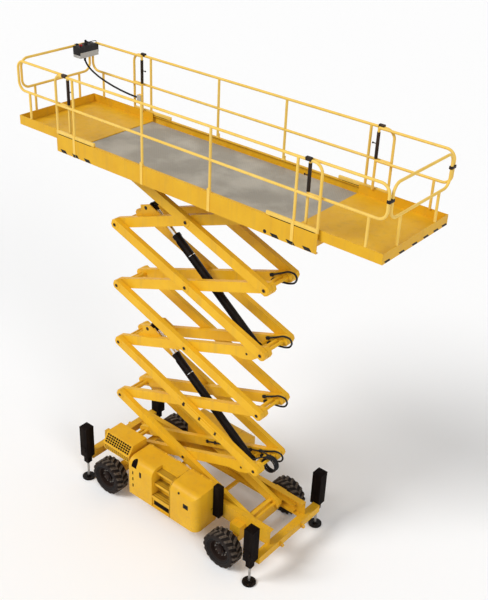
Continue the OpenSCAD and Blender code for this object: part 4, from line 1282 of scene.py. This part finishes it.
# control box: a dark panel on top and at both ends, rubber boot under the stick, stop button, switches and a
# guard hoop, and the lid of the joint box where the cable ends
panelSettings = {
    "lo": (-3.613, 0.370, 7.84035),
    "hi": (-3.433, 0.790, 8.03035),
    "plate": (0.010, 0.012, 0.001, 0.004),  # inset along and across, depth below and height over the top
    "cheek": ((0.001, 0.003), (0.003, 0.002), (0.05, 0.01)),  # past each end, out and in, from low and top
    "plateRound": 0.002,
    "sit": 0.003,  # height of the controls over the top
    "boot": [
        (0.040, 0.0), (0.040, 0.006), (0.033, 0.012), (0.036, 0.018), (0.028, 0.026), (0.030, 0.032),
        (0.022, 0.042), (0.016, 0.046),
    ],
    "knobUp": 0.045,
    "knob": [(0.012, 0.0), (0.019, 0.008), (0.022, 0.022), (0.019, 0.036), (0.008, 0.044)],
    "stopAt": (0.02, -0.13),
    "stop": [(0.018, 0.0), (0.018, 0.010), (0.027, 0.012), (0.028, 0.022), (0.022, 0.029), (0.008, 0.031)],
    "switchX": (-0.04, 0.04),
    "switchY": (0.09, 0.13),
    "switch": [(0.010, 0.0), (0.010, 0.006), (0.004, 0.008), (0.004, 0.026), (0.002, 0.028)],
    "hoopIn": 0.02,
    "hoop": ((0.03, 0.0), (0.03, 0.045), (0.07, 0.062)),  # in from the end, height over the top
    "hoopTube": 0.006,
    "lid": ((-2.432, 0.732, 7.24435), (-2.348, 0.744, 7.36835)),
    "lidRound": 0.003,
}


def makePanel(s):
    body = "extension_left"
    lo, hi = np.array(s["lo"]), np.array(s["hi"])
    midX, midY = (lo + hi)[:2] / 2
    top = hi[2]
    dx, dy, below, above = s["plate"]
    low, high = (lo[0] + dx, lo[1] + dy, top - below), (hi[0] - dx, hi[1] - dy, top + above)
    plate = block(low, high, s["plateRound"])
    place("panelPlate", plate, body, "blackRubber")
    (rear, front), (out, inside), (low, high) = s["cheek"]
    cheeks = [block((lo[0] - rear, y + way * out, lo[2] + low), (hi[0] + front, y - way * inside, top - high),
                    s["plateRound"]) for y, way in ((lo[1], -1), (hi[1], 1))]
    place("panelSides", joined(cheeks), body, "blackRubber")
    seat, up = top + s["sit"], (0, 0, 1)
    parts = [turned(s["boot"], (midX, midY, seat), up, 28),
             turned(s["knob"], (midX, midY, top + s["knobUp"]), up, 24)]
    parts += [turned(s["switch"], (midX + x, midY + y, seat), up, 12)
              for x in s["switchX"] for y in s["switchY"]]
    x = hi[0] - s["hoopIn"]
    guard = [(x, lo[1] + d, top + h) for d, h in s["hoop"]]
    guard += [(x, hi[1] - d, top + h) for d, h in s["hoop"][::-1]]
    parts.append(tube(smoothPath(guard, 8), s["hoopTube"], 8))
    place("panelControls", joined(parts), body, "blackRubber")
    x, y = s["stopAt"]
    place("stopButton", turned(s["stop"], (midX + x, midY + y, seat), up, 24), body, "stopRed")
    place("jointBoxLid", block(*s["lid"], s["lidRound"]), body, "boxGrey")


makePanel(panelSettings)
print("control box dressed")
